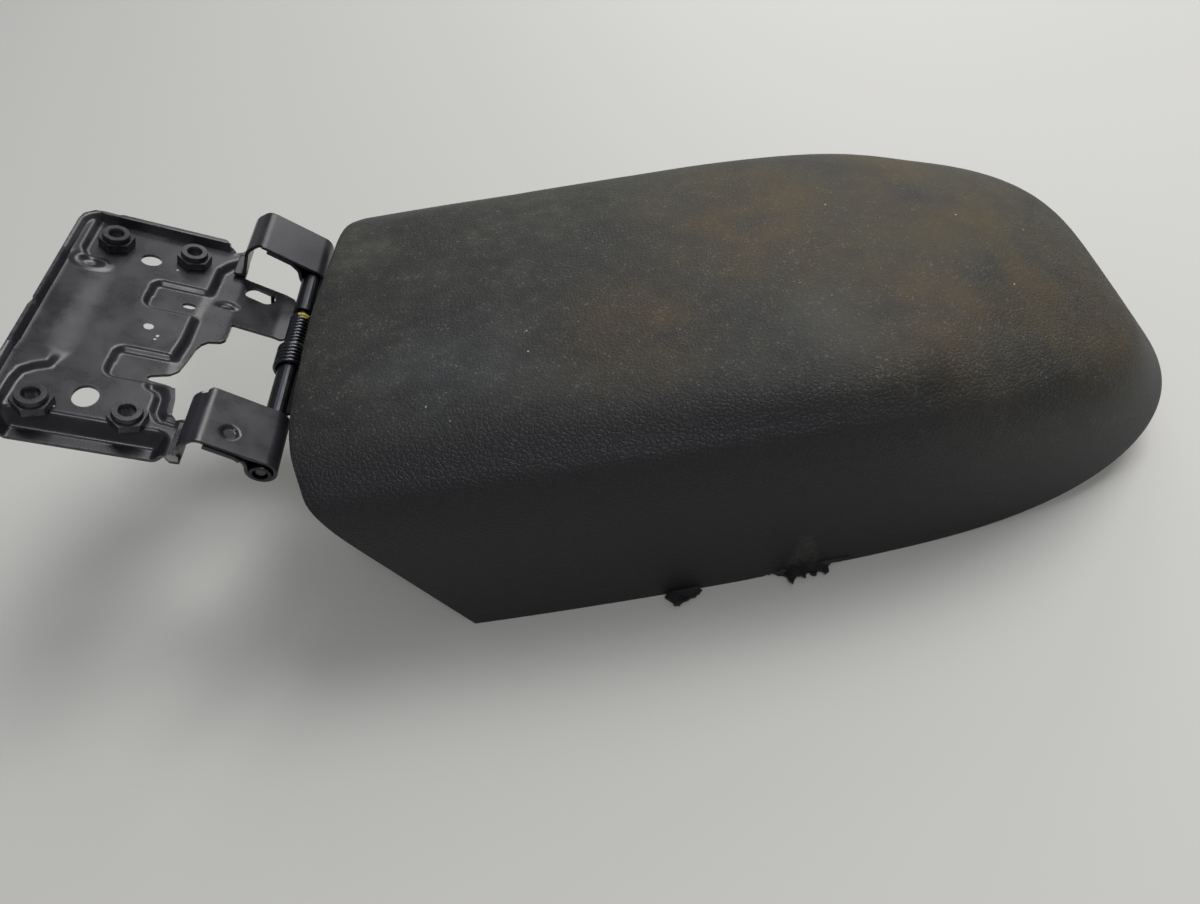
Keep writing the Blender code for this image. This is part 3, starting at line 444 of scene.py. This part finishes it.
def coverStation(share):
    # half of one cross section, from the lower edge up to the centre line, in millimetres
    corner = []
    for level in range(3):
        x = share * cover["lengths"][level]
        wide = cover["widths"][level] * (1 - cover["tapers"][level] * share ** 2)
        y = wide * max(0.0, 1 - share ** cover["along"][level]) ** (1 / cover["across"][level])
        s = clamp(x / 300, 0, 1.1)
        topLine = cover["top"] - cover["topFall"] * s + 4 * cover["crown"] * s * (1 - s)
        if level == 0:
            z = topLine
        elif level == 1:
            z = topLine - cover["dropRear"] - (cover["dropNose"] - cover["dropRear"]) * share ** 4
        else:
            z = cover["rise"] * max(0.0, (x - cover["riseStart"]) / (longest - cover["riseStart"])) ** 2.5
        corner.append(Vector((x, y, z)))
    ridge, crease, edge = corner
    short = max(0.0, cover["rearRound"] - ridge.x)
    pull = cover["rearRound"] - math.sqrt(max(0.0, cover["rearRound"] ** 2 - short ** 2))
    ridge.z -= 0.8 * pull
    ridge.y -= 0.4 * pull
    crease.y -= 0.6 * pull
    # the crown across the top dies away where the ridges close round the nose
    crown = cover["crossCrown"] * (1 - (1 - clamp(ridge.y / 58)) ** 2)
    centre = Vector((ridge.x, 0, ridge.z + crown))
    shoulder = Vector((ridge.x, ridge.y * 0.45, ridge.z + crown * 0.8))
    path = []

    def line(start, end, count):
        path.extend(start.lerp(end, i / count) for i in range(count))

    def fillet(before, point, after, size, count):
        start, end = point.lerp(before, size), point.lerp(after, size)
        for i in range(count):
            t = i / count
            path.append(start * (1 - t) ** 2 + point * 2 * t * (1 - t) + end * t ** 2)

    lowEnd = crease.lerp(edge, cover["creaseFillet"])
    line(edge, lowEnd, 12)
    fillet(edge, crease, ridge, cover["creaseFillet"], 8)
    line(crease.lerp(ridge, cover["creaseFillet"]), ridge.lerp(crease, cover["ridgeFillet"]), 5)
    fillet(crease, ridge, shoulder, cover["ridgeFillet"], 10)
    last = ridge.lerp(shoulder, cover["ridgeFillet"])
    crest = ridge.lerp(shoulder, 1.0)
    for i in range(11):
        t = i / 10
        path.append(last * (1 - t) ** 2 + crest * 2 * t * (1 - t) + centre * t ** 2)
    return path


# places of the cross sections as shares of the length: close at the rear edge, at the tear and at the nose
coverShares = [0, 0.0015, 0.0032, 0.0050, 0.0072, 0.0098, 0.0128, 0.0162]
coverShares += [0.0162 + (1 - 0.0162) * (1 - (1 - i / 84) ** 2.4) for i in range(1, 85)]
coverShares = sorted(coverShares + [x / longest for x in range(148, 196)])
coverRows = [coverStation(share) for share in coverShares]
halfCount = len(coverRows[0])
ringCount = 2 * halfCount - 1


def coverPlace(row, column):
    half = coverRows[row]
    index = column if column < halfCount else ringCount - 1 - column
    point = half[index].copy()
    point.y *= -1 if column < halfCount else 1
    # the rear edge bows out towards the hinge
    point.x -= cover["bulge"] * math.exp(-((point.y + 25) / 60) ** 2) * (1 - ease(point.x / 40))
    # the padding has settled a little unevenly
    sag = noise.noise(Vector((point.x / 70, point.y / 60, 3.1))) * 0.5
    sag += noise.noise(Vector((point.x / 28, point.y / 26, 7.7))) * 0.16
    upper = ease((index - 14) / 10)
    point.z += sag * upper
    # ragged, lifted edge where the skin is torn
    if point.y < 0 and index < 5:
        reach = 1 - abs(point.x - cover["tearAt"]) / cover["tearLong"]
        if reach > 0:
            ragged = abs(noise.noise(Vector((point.x * 0.35, 2.0, 5.0)))) * 3.6
            ragged += abs(noise.noise(Vector((point.x * 1.3, 6.0, 5.0)))) * 1.6 + 0.3
            point.z += ragged * ease(reach * 1.8) * (1 - index / 5)
    return Vector((point.x * mm + cover["shiftX"], point.y * mm, point.z * mm))


coverPad = shapedGrid("coverPad", len(coverRows), ringCount, coverPlace)
for key in ("topFace", "ridgeLine", "shoulderFace", "tornEdge"):
    coverPad.data.attributes.new(key, "FLOAT", "POINT")
masks = coverPad.data.attributes
for index, vert in enumerate(coverPad.data.vertices):
    column = index % ringCount
    place = column if column < halfCount else ringCount - 1 - column
    top = ease((place - 22) / 13)
    row = index // ringCount
    nose = ease((coverShares[row] - 0.60) / 0.34)
    masks["topFace"].data[index].value = top + (1 - top) * 0.85 * nose * ease((place - 1) / 13)
    masks["ridgeLine"].data[index].value = math.exp(-((place - 30) / 3.2) ** 2)
    masks["shoulderFace"].data[index].value = ease((place - 8) / 8) * (1 - 0.75 * top)
    x = (vert.co.x - cover["shiftX"]) / mm
    # a peak of bared backing stands over the tear, from 166 to 178 mm along and 20 mm high
    z = vert.co.z / mm
    slant = abs(x - 172.5 - 0.10 * z) - 6.8 * (1 - z / 20) - 1.5
    masks["tornEdge"].data[index].value = (1 - ease(slant / 1.6 + 0.5)) * (z < 21) * (vert.co.y < 0)
openAt(coverPad, lambda vert: vert.index < ringCount)
bpy.ops.mesh.select_mode(type="VERT")
bpy.ops.mesh.edge_face_add()                # rear wall
closeMesh()
tidyMesh(coverPad)


def nearNose(vert):
    away = Vector(((vert.co.x - cover["shiftX"]) / mm - cover["noseAt"], vert.co.y / mm * 0.6))
    return away.length < cover["noseReach"] and vert.co.z > cover["noseAbove"]


# the top rolls softly into the nose
openAt(coverPad, nearNose)
bpy.ops.mesh.vertices_smooth(factor=0.5, repeat=60)
closeMesh()
makeActive(coverPad)
bpy.ops.object.duplicate()
foamPad = bpy.context.object
foamPad.name = "foamPad"
cutTop, cutFoot = cover["cutTop"], cover["cutFoot"]
cutNormal = Vector((-(cutTop[1] - cutFoot[1]), 0, cutTop[0] - cutFoot[0])).normalized()
openMesh(coverPad)
bpy.ops.mesh.bisect(plane_co=(cutFoot[0] * mm + cover["shiftX"], 0, 0), plane_no=cutNormal, clear_outer=True)
closeMesh()
applyModifier(coverPad, "SOLIDIFY", thickness=cover["wall"] * mm, offset=-1.0, use_even_offset=True)
applyModifier(coverPad, "BEVEL", width=cover["edgeRound"] * mm, segments=2, limit_method="ANGLE",
              angle_limit=math.radians(70))
smoothShade(coverPad, 50)
paint(coverPad, skin)
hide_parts("cover_skin")
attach(coverPad, "lid")

# foam: the cover's own shape taken in by its wall, with its rear cut and its foot set a little further in
padding = {"merge": 1.6, "gap": 0.35, "rear": 1.5, "foot": 1.0, "thick": 1.6}
tidyMesh(foamPad, padding["merge"] * mm)
openMesh(foamPad)
bpy.ops.transform.shrink_fatten(value=-(cover["wall"] + padding["gap"]) * mm)
bpy.ops.mesh.bisect(plane_co=((cutFoot[0] + padding["rear"]) * mm + cover["shiftX"], 0, 0),
                    plane_no=cutNormal, clear_outer=True)
bpy.ops.mesh.select_all(action="SELECT")
bpy.ops.mesh.bisect(plane_co=(0, 0, padding["foot"] * mm), plane_no=(0, 0, 1), clear_inner=True)
closeMesh()
applyModifier(foamPad, "SOLIDIFY", thickness=padding["thick"] * mm, offset=-1.0, use_even_offset=False)
smoothShade(foamPad, 50)
paint(foamPad, foam)
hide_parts("foam_pad")
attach(foamPad, "lid")
print("cover and foam made")


# torn skin hanging from the near edge; left, edge and low place each outline's origin
tornBits = {
    "flap": {"left": 7.0, "edge": -93.2, "low": 0.4, "outline": [
        (0, 0), (1.5, 1.2), (13, 2.2), (14.6, 0.7), (13.2, -0.6), (12.4, -0.4), (11.6, -1.6), (9.6, -1.8),
        (8.6, -3.1), (6.6, -3.6), (5.6, -4.7), (3.4, -4.4), (3.0, -3.0), (1.6, -2.0)]},
    "shreds": {"left": 52.4, "edge": -89.6, "low": 0.5, "outline": [
        (-4, 1.6), (0, 2.6), (5, 2.6), (10, 2.8), (15, 3.0), (20, 3.4), (26, 4.4), (26, 3.4), (22.5, 2.6),
        (19.0, 2.2), (17.6, 1.2), (17.2, -1.4), (15.8, -2.6), (15.2, -1.0), (13.4, -0.8), (12.2, -2.4),
        (10.8, -1.6), (10.2, -0.2), (8.8, -1.2), (8.2, -3.4), (7.0, -2.0), (5.4, -1.6), (4.4, -3.0),
        (3.0, -5.4), (2.0, -4.0), (1.4, -1.6), (0.2, -0.4), (-1.6, -0.2)]},
    "thick": 1.1,
}


def tornPiece(name, left, edge, low, outline):
    deselectAll()
    bpy.ops.mesh.primitive_circle_add(vertices=len(outline), radius=1, fill_type="NGON")
    obj = bpy.context.object
    obj.name = name
    for vert, (x, y) in zip(obj.data.vertices, outline):
        height = low + 0.55 * abs(y) ** 0.5 + 0.3 * math.sin(x)
        vert.co = Vector(((left + x) * mm, (edge + y) * mm, height * mm))
    openMesh(obj)
    bpy.ops.mesh.normals_make_consistent(inside=False)
    bpy.ops.mesh.extrude_region_move(TRANSFORM_OT_translate={"value": (0, 0.0002, tornBits["thick"] * mm)})
    bpy.ops.mesh.select_all(action="SELECT")
    bpy.ops.mesh.quads_convert_to_tris()
    bpy.ops.mesh.subdivide(number_cuts=2, smoothness=0.0)
    bpy.ops.mesh.normals_make_consistent(inside=False)
    closeMesh()
    for vert in obj.data.vertices:
        vert.co += noise.noise_vector(vert.co * 420) * 0.00035
        vert.co.z = max(vert.co.z, 0.0002)
    smoothShade(obj, 35)
    paint(obj, skin)
    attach(obj, "lid")


tornPiece("tornFlap", **tornBits["flap"])
tornPiece("tornShreds", **tornBits["shreds"])
print("torn edge made")


# stamped hinge plate; u runs from the pin to the free edge, v is +Y, n stands square on the plate
plate = {
    "sheet": 1.4, "floor": -7.5, "rimRise": 3.8, "stripRise": 2.0, "beadDepth": 2.0, "nearStep": 6.2,
    "grooveDepth": 1.7, "tongueRoot": -10.0, "tongueTip": -6.8, "edgeRound": 0.22,
    # start, step and count of the grid along and across
    "gridU": (3.75, 0.74, 122), "gridV": (-63.0, 0.70, 178),
    "outline": [(5.0, 10.6), (6.2, 9.0), (26.4, 14.2), (26.8, 4.6), (28.4, 3.0), (32.5, 2.0), (34.6, -0.2),
                (35.8, -3.0), (37.2, -10.0), (38.8, -16.6), (41.0, -19.4), (44.6, -20.8), (47.2, -21.8),
                (48.0, -23.0), (47.0, -24.4), (42.0, -25.0), (39.0, -25.6), (37.2, -27.2), (36.0, -32.0),
                (35.2, -40.0), (33.5, -42.4), (29.0, -41.4), (27.4, -41.0), (27.4, -61.0), (30.4, -61.2),
                (32.6, -59.6), (35.0, -57.9), (37.0, -57.5), (86.5, -57.5), (89.6, -56.8), (92.2, -54.2),
                (93.0, -51.5), (93.0, -3.2), (92.3, -2.4), (92.3, -0.8), (92.8, 0.4), (93.0, 50.5),
                (92.2, 54.2), (89.0, 57.4), (85.5, 58.0), (79.8, 57.8), (79.0, 58.5), (38.2, 58.5),
                (37.2, 57.6), (36.4, 56.2), (33.6, 55.8), (31.0, 57.4), (29.6, 60.5), (29.4, 63.0),
                (27.4, 63.0), (27.4, 43.6), (25.0, 42.4), (8.0, 35.8), (5.6, 34.8), (4.6, 33.2), (4.5, 22.0)],
    "strip": [(97, 64), (87, 64), (87, 36), (84, 30.5), (78.5, 27), (77, 22), (77.4, 5), (79, -5),
              (77.7, -15), (77.4, -24), (78.2, -28), (82.3, -30.4), (85.4, -33.4), (86.3, -38),
              (86.6, -47), (86.8, -60), (97, -60)],
    "groove": [(45, -28.6), (41.5, -30.5), (40.4, -33), (40.2, -40), (38, -43.2), (33, -44)],
    "bendLine": [(10, 70), (34, 48), (37.0, 43), (37.6, 30), (38.8, 22), (39.6, 12), (40.0, -2), (41.2, -10),
                 (40.6, -19), (39.0, -21.5), (30, -23), (10, -23)],
    # low and high corners, then a corner radius
    "beads": [((28, 11.5), (60, 29.0), 4.5), ((30, -28.0), (62.4, -10.8), 4.5)],
    "rim": ((10, -70), (90.6, 55.8), 6.0), "trough": ((32.5, -80), (88.0, -48.0), 5.5),
    # centres with half widths
    "crescent": ((30.4, 23.6), (4.6, 3.4)), "oval": ((82.5, 29), (4.6, 2.6)),
    "holes": [((63.0, 39.0), (4.0, 3.5)), ((63.5, -39.0), (4.3, 5.2)), ((43.7, 19.0), (2.7, 1.6))],
    "nuts": [(77.2, 43.9), (47.6, 43.9), (77.2, -46.7), (47.6, -46.7)], "nutHole": (3.0, 3.0),
    # centre, turn in degrees, half length of its straight part and end radius
    "slot": ((19.2, 33.6), 24, 3.4, 3.3),
}


def edgeDistance(u, v, outline, closed=True):
    # distance to an outline, above zero inside a closed one, and the nearest spot on it
    best = 1e9
    inside = False
    count = len(outline)
    nearest = None
    for i in range(count if closed else count - 1):
        (a, b), (c, d) = outline[i], outline[(i + 1) % count]
        run = (c - a, d - b)
        size = run[0] ** 2 + run[1] ** 2 or 1e-9
        t = clamp(((u - a) * run[0] + (v - b) * run[1]) / size)
        pu, pv = a + t * run[0], b + t * run[1]
        far = math.hypot(u - pu, v - pv)
        if far < best:
            best, nearest = far, (pu, pv)
        if closed and (b > v) != (d > v) and u < (c - a) * (v - b) / (d - b) + a:
            inside = not inside
    return (best if inside else -best), nearest


def roundBox(u, v, low, high, radius):
    # distance to a box with round corners, above zero inside it
    qu = abs(u - (low[0] + high[0]) / 2) - ((high[0] - low[0]) / 2 - radius)
    qv = abs(v - (low[1] + high[1]) / 2) - ((high[1] - low[1]) / 2 - radius)
    return radius - math.hypot(max(qu, 0), max(qv, 0)) - min(max(qu, qv), 0)


def fromCentre(u, v, centre, halves):
    return math.hypot((u - centre[0]) / halves[0], (v - centre[1]) / halves[1])


def sheetLevel(u, v):
    level = plate["floor"]
    # the strip's edge is soft in the middle and crisp at its curved end
    middle = ease((v + 26) / 8) * ease((34 - v) / 8)
    soft = 2.4 + 9.0 * middle
    strip = ease(edgeDistance(u, v, plate["strip"])[0] / soft + 0.5)
    level += plate["stripRise"] * (1 - 0.62 * middle) * strip
    for low, high, radius in plate["beads"]:
        far = roundBox(u, v, low, high, radius)
        steep = 2.9 if v > (low[1] + high[1]) / 2 else 2.2
        level -= plate["beadDepth"] * ease(far / steep)
    groove = -edgeDistance(u, v, plate["groove"], closed=False)[0]
    level -= plate["grooveDepth"] * (1 - ease(groove / 2.8))
    bend = edgeDistance(u, v, plate["bendLine"])[0]
    if bend > -3:
        run = clamp((u - 4.5) / 23)
        tongue = plate["tongueTip"] + (plate["tongueRoot"] - plate["tongueTip"]) * run
        level += (tongue - level) * ease(bend / 4.0 + 0.5)
    # a crescent stamped up on the tongue and an oval round the end of the strip
    crescent = ease(1.2 - fromCentre(u, v, *plate["crescent"])) * ease((v - 23.0) / 0.8 + 0.5)
    level += 1.3 * crescent
    oval = fromCentre(u, v, *plate["oval"])
    level += 0.8 * ease(1.9 - oval) - 1.5 * ease(1.35 - oval)
    rim = -roundBox(u, v, *plate["rim"])
    if u > 34:
        level += (plate["floor"] + plate["rimRise"] - level) * ease(rim / 1.6 + 0.3) * ease((v + 54) / 7)
    # the near side drops in a long trough with round ends, to a lip along the edge
    trough = roundBox(u, v, *plate["trough"])
    level += (plate["floor"] - plate["nearStep"] - level) * ease(trough / 5.4)
    return level


def sheetPlace(row, column):
    return Vector((-(plate["gridU"][0] + row * plate["gridU"][1]),
                   plate["gridV"][0] + column * plate["gridV"][1], 0))


def ontoFrame(obj):
    # from the plate's own directions to its place behind the hinge
    obj.data.transform(Matrix.Scale(mm, 4))
    obj.data.transform(Matrix.Rotation(tiltAngle, 4, "Y"))
    obj.data.transform(Matrix.Translation(axisPlace))


def ringAround(centre, radii, count):
    angles = [2 * math.pi * k / count for k in range(count)]
    return [(centre[0] + radii[0] * math.cos(a), centre[1] + radii[1] * math.sin(a)) for a in angles]


def slotRing(centre, degrees, half, radius):
    ring = []
    turned = math.radians(degrees)
    for k in range(32):
        angle = 2 * math.pi * k / 32
        ahead = radius * math.cos(angle) + math.copysign(half, math.cos(angle))
        aside = radius * math.sin(angle)
        ring.append((centre[0] + ahead * math.cos(turned) - aside * math.sin(turned),
                     centre[1] + ahead * math.sin(turned) + aside * math.cos(turned)))
    return ring


rings = [ringAround(centre, radii, 32) for centre, radii in plate["holes"]]
rings += [ringAround(centre, plate["nutHole"], 24) for centre in plate["nuts"]]
rings.append(slotRing(*plate["slot"]))
hingePlate = shapedGrid("stampedPlate", plate["gridU"][2], plate["gridV"][2], sheetPlace)
mesh = hingePlate.data
# each crossing's distance to the nearest outline or opening, above zero on the sheet
signed = {}
for vert in mesh.vertices:
    u, v = -vert.co.x, vert.co.y
    depth, nearest = edgeDistance(u, v, plate["outline"])
    for ring in rings:
        if abs(u - ring[0][0]) < 14 and abs(v - ring[0][1]) < 14:
            hole, spot = edgeDistance(u, v, ring)
            if -hole < depth:
                depth, nearest = -hole, spot
    signed[vert.index] = (depth, nearest)
# faces off the sheet go, and the crossings left at an edge move onto it
openMesh(hingePlate, "DESELECT")
bpy.ops.mesh.select_mode(type="FACE")
closeMesh()
for face in mesh.polygons:
    face.select = sum(signed[i][0] > 0 for i in face.vertices) < 3
kept = {i for face in mesh.polygons if not face.select for i in face.vertices}
dropped = {i for face in mesh.polygons if face.select for i in face.vertices}
for index in kept:
    depth, nearest = signed[index]
    if index in dropped or depth < 0:
        mesh.vertices[index].co = Vector((-nearest[0], nearest[1], 0))
bpy.ops.object.mode_set(mode="EDIT")
bpy.ops.mesh.delete(type="FACE")
bpy.ops.mesh.select_all(action="SELECT")
bpy.ops.mesh.remove_doubles(threshold=0.02)
bpy.ops.mesh.delete_loose()
closeMesh()
for vert in mesh.vertices:
    vert.co.z = sheetLevel(-vert.co.x, vert.co.y)
tidyMesh(hingePlate, 0.01)
facing = sum(face.normal.z for face in hingePlate.data.polygons)
applyModifier(hingePlate, "SOLIDIFY", thickness=plate["sheet"], offset=-1.0 if facing > 0 else 1.0,
              use_even_offset=False)
applyModifier(hingePlate, "BEVEL", width=plate["edgeRound"], segments=2, limit_method="ANGLE",
              angle_limit=math.radians(65))
ontoFrame(hingePlate)
tidyMesh(hingePlate)
smoothShade(hingePlate, 45)
paint(hingePlate, satinPaint)
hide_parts("hinge_plate")
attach(hingePlate, "plate")
print("plate made")


# folded arms: up from the floor, over a hump and round the sleeve, then back beneath
arms = {
    "near": (-65.2, -40.4), "far": (40.6, 64.8), "foot": {"near": -58.8, "far": 57.0}, "across": 56,
    "crest": (19.4, 11.3), "wall": 27.7, "knuckle": 4.9, "hem": 19.0, "hemGap": 0.45,
    # centre, radius and depth
    "dimple": ((12.2, -57.4), 3.3, 0.9),
}


def roundedPath(corners):
    # corners are (u, n, radius); each bend becomes an arc of short steps
    path = [Vector(corners[0][:2])]
    for before, point, after in zip(corners, corners[1:], corners[2:]):
        here = Vector(point[:2])
        back = (Vector(before[:2]) - here).normalized()
        on = (Vector(after[:2]) - here).normalized()
        half = math.acos(clamp(back.dot(on), -1, 1)) / 2
        reach = point[2] / math.tan(half)
        start, end = here + back * reach, here + on * reach
        for i in range(9):
            t = i / 8
            path.append(start * (1 - t) ** 2 + here * 2 * t * (1 - t) + end * t ** 2)
    path.append(Vector(corners[-1][:2]))
    return path


root = plate["floor"] - plate["sheet"] / 2
knuckle = arms["knuckle"]
crest = Vector(arms["crest"])


def onKnuckle(angle):
    return Vector((knuckle * math.cos(angle), knuckle * math.sin(angle)))


# the arm runs straight from its crest until it meets the sleeve, then rolls round it
meets = math.atan2(crest.y, crest.x) + math.acos(knuckle / crest.length)
armLine = roundedPath([(32.0, root, 0), (arms["wall"], root, 1.8),
                       (arms["wall"] - 0.8, arms["crest"][1] - 5.0, 6.0),
                       (crest.x + 2.5, crest.y + 0.3, 4.0), (*onKnuckle(meets), 0)])
armLine += [onKnuckle(meets + (2 * math.pi - meets) * i / 35) for i in range(1, 36)]
along = (crest - onKnuckle(meets)).normalized()
# the hem comes back beneath the straight part
below = crest - along * 14 + Vector((along.y, -along.x)) * (plate["sheet"] + arms["hemGap"])
armLine += [Vector((knuckle + 0.1, 1.2)), Vector((knuckle + 0.5, 2.6)), Vector((knuckle + 1.4, 3.9)),
            below + along * 2.4]
armLine.append(below + along * ((arms["hem"] - below.x) / along.x))
evenLine = [armLine[0]]
for start, end in zip(armLine, armLine[1:]):
    steps = max(1, int((end - start).length / 0.55))
    evenLine += [start.lerp(end, (i + 1) / steps) for i in range(steps)]


def makeArm(name, low, high):
    near = low < 0
    foot = arms["foot"]["near" if near else "far"]
    hemStart = len(evenLine) - 24

    def place(row, column):
        point = evenLine[row]
        u, n = point.x, point.y
        # the strap starts narrow at the floor, widens up its wall and has a small step near its crest
        rise = ease((n - root) / 14) if row < 44 else 1.0
        outer = foot + ((low if near else high) - foot) * rise
        inner = high if near else low
        step = 1.1 * ease((u - 20.8) / 1.2) if n > 0 else 1.1
        step += 1.6 * (1 - rise)
        if row >= hemStart:
            outer += 1.0 if not near else -0.8
        inner += -step if near else step
        first, last = (outer, inner) if near else (inner, outer)
        v = first + (last - first) * column / (arms["across"] - 1)
        (du, dv), radius, depth = arms["dimple"]
        if near and n > 6.0 and row < hemStart:
            n -= depth * ease((radius - math.hypot(u - du, v - dv)) / 0.9)
        return Vector((-u, v, n))

    arm = shapedGrid(name, len(evenLine), arms["across"], place)
    tidyMesh(arm, 0.01)
    applyModifier(arm, "SOLIDIFY", thickness=plate["sheet"], offset=0.0, use_even_offset=True)
    applyModifier(arm, "BEVEL", width=plate["edgeRound"], segments=2, limit_method="ANGLE",
                  angle_limit=math.radians(65))
    ontoFrame(arm)
    tidyMesh(arm)
    smoothShade(arm, 45)
    paint(arm, satinPaint)
    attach(arm, "plate")


makeArm("foldedArmNear", *arms["near"])
makeArm("foldedArmFar", *arms["far"])
print("arms made")


# torsion spring: wide coils by the near sleeve, narrow ones on the pin, a leg hooked into the tongue's slot
spring = {
    "wire": 1.62, "start": -14.4, "steps": 28,
    # of the wide coils and of the narrow ones
    "turns": (5.75, 10), "pitch": (1.9, 1.85), "radius": (5.0, 3.5),
    # the leg's bend: x is taken from the narrow coils' radius and y from the last coil
    "bend": [(0, 0, -1.5), (-0.1, 0.2, -3.5), (-0.6, 0.8, -6.0), (-1.8, 1.6, -8.6), (-4.0, 2.8, -10.8),
             (-7.0, 4.4, -12.0)],
    "hook": [(-7.0, 26.4, -12.4), (-10.4, 28.8, -12.3), (-12.6, 30.2, -11.6), (-13.6, 31.0, -9.8),
             (-13.9, 31.4, -7.2), (-14.0, 31.5, -5.0)],
}


def springLine():
    wide, narrow = spring["radius"]
    widePitch, narrowPitch = spring["pitch"]
    along = spring["start"]
    points = [(11.0, along, -wide), (5.0, along, -wide)]
    for i in range(int(sum(spring["turns"]) * spring["steps"]) + 1):
        turns = i / spring["steps"]
        blend = ease(turns - spring["turns"][0] + 0.5)
        radius = wide + (narrow - wide) * blend
        angle = math.radians(-90) - 2 * math.pi * turns
        points.append((radius * math.cos(angle), along, radius * math.sin(angle)))
        along += (widePitch + (narrowPitch - widePitch) * blend) / spring["steps"]
    return points + [(narrow + x, along + y, z) for x, y, z in spring["bend"]] + spring["hook"]


deselectAll()
bpy.ops.curve.primitive_nurbs_path_add()
coil = bpy.context.object
coil.name = "springCoil"
coil.data.splines.clear()
wire = coil.data.splines.new("POLY")
coilPoints = springLine()
wire.points.add(len(coilPoints) - 1)
for point, spot in zip(wire.points, coilPoints):
    point.co = (*spot, 1.0)
coil.data.dimensions = "3D"
coil.data.bevel_depth = spring["wire"] / 2
coil.data.bevel_resolution = 3
coil.data.use_fill_caps = True
makeActive(coil)
bpy.ops.object.convert(target="MESH")
coil = bpy.context.object
ontoFrame(coil)
tidyMesh(coil)
smoothShade(coil, 60)
paint(coil, springSteel)
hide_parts("torsion_spring")
settle(coil)
# its near end stays with the lid and its far end turns with the plate, so the coils wind as the hinge closes
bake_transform(coil, "lid", "plate", start=(axisPlace.x, -0.0140, axisPlace.z),
         end=(axisPlace.x, 0.0165, axisPlace.z))
print("spring made")


# finishes of the carried-over pieces
finishes = {"lid_pan": panPlastic, "bottom_panel": panPlastic, "lid_bracket": bracketSteel,
            "sleeve_near": sleeveSteel, "sleeve_far": sleeveSteel, "hinge_pin": pinSteel,
            "bump_stop_near": stopRubber, "bump_stop_far": stopRubber}
for name, obj in nodes.items():
    if name.startswith("weld_nut"):
        paint(obj, satinPaint)
    elif "screw" in name:
        paint(obj, screwZinc)
    elif name in finishes:
        paint(obj, finishes[name])
    if name.startswith("weld_nut") or name in ("hinge_pin", "sleeve_near", "sleeve_far", "lid_bracket"):
        soft = obj.modifiers.new("softEdge", "BEVEL")
        soft.width = 0.18 * mm
        soft.segments = 2
        soft.limit_method = "ANGLE"
        soft.angle_limit = math.radians(40)
print("finishes set")


# floor, light and camera
studio = {
    "floor": "#cfceca", "sky": "#f0f2f6", "skyStrength": 0.27, "aim": (0.0, 0.0, 0.05),
    # name, power, size and place
    "lights": [("softKey", 38.0, 1.3, (1.05, 1.05, 2.0)), ("farWindow", 10.5, 1.1, (0.50, 2.0, 1.1)),
               ("ceilingLamp", 5.5, 0.35, (0.25, -0.95, 1.6))],
}
deselectAll()
bpy.ops.mesh.primitive_plane_add(size=6.0, location=(0, 0, -0.0002))
floor = bpy.context.object
floor.name = "floor"
paint(floor, newFinish("paleTable", studio["floor"], 0.6)[0])

world = bpy.data.worlds.new("studio")
bpy.context.scene.world = world
world.use_nodes = True
background = world.node_tree.nodes["Background"]
background.inputs["Color"].default_value = hexColour(studio["sky"])
background.inputs["Strength"].default_value = studio["skyStrength"]

for name, power, size, spot in studio["lights"]:
    deselectAll()
    bpy.ops.object.light_add(type="AREA", location=spot)
    lamp = bpy.context.object
    lamp.name = name
    lamp.data.energy = power
    lamp.data.size = size
    lamp.rotation_euler = (Vector(studio["aim"]) - Vector(spot)).to_track_quat("-Z", "Y").to_euler()

# the photo's camera, found from its outlines; focal length and width in pixels, place in millimetres
view = {"focal": 826.66, "width": 1200, "place": (15.99, -251.08, 281.26),
        "right": (0.98745, -0.05213, -0.14906), "up": (0.13511, 0.76751, 0.62664),
        "ahead": (-0.08173, 0.63892, -0.76492)}
camera = bpy.data.cameras.new("photoCamera")
camera.sensor_width = 36
camera.lens = camera.sensor_width * view["focal"] / view["width"]
camera.clip_start = 0.01
eye = bpy.data.objects.new("photoCamera", camera)
bpy.context.scene.collection.objects.link(eye)
turn = Matrix((view["right"], view["up"], [-a for a in view["ahead"]])).transposed().to_4x4()
eye.matrix_world = Matrix.Translation(Vector(view["place"]) * mm) @ turn
bpy.context.scene.camera = eye
bpy.context.scene.view_settings.view_transform = "Standard"
print("stage set")
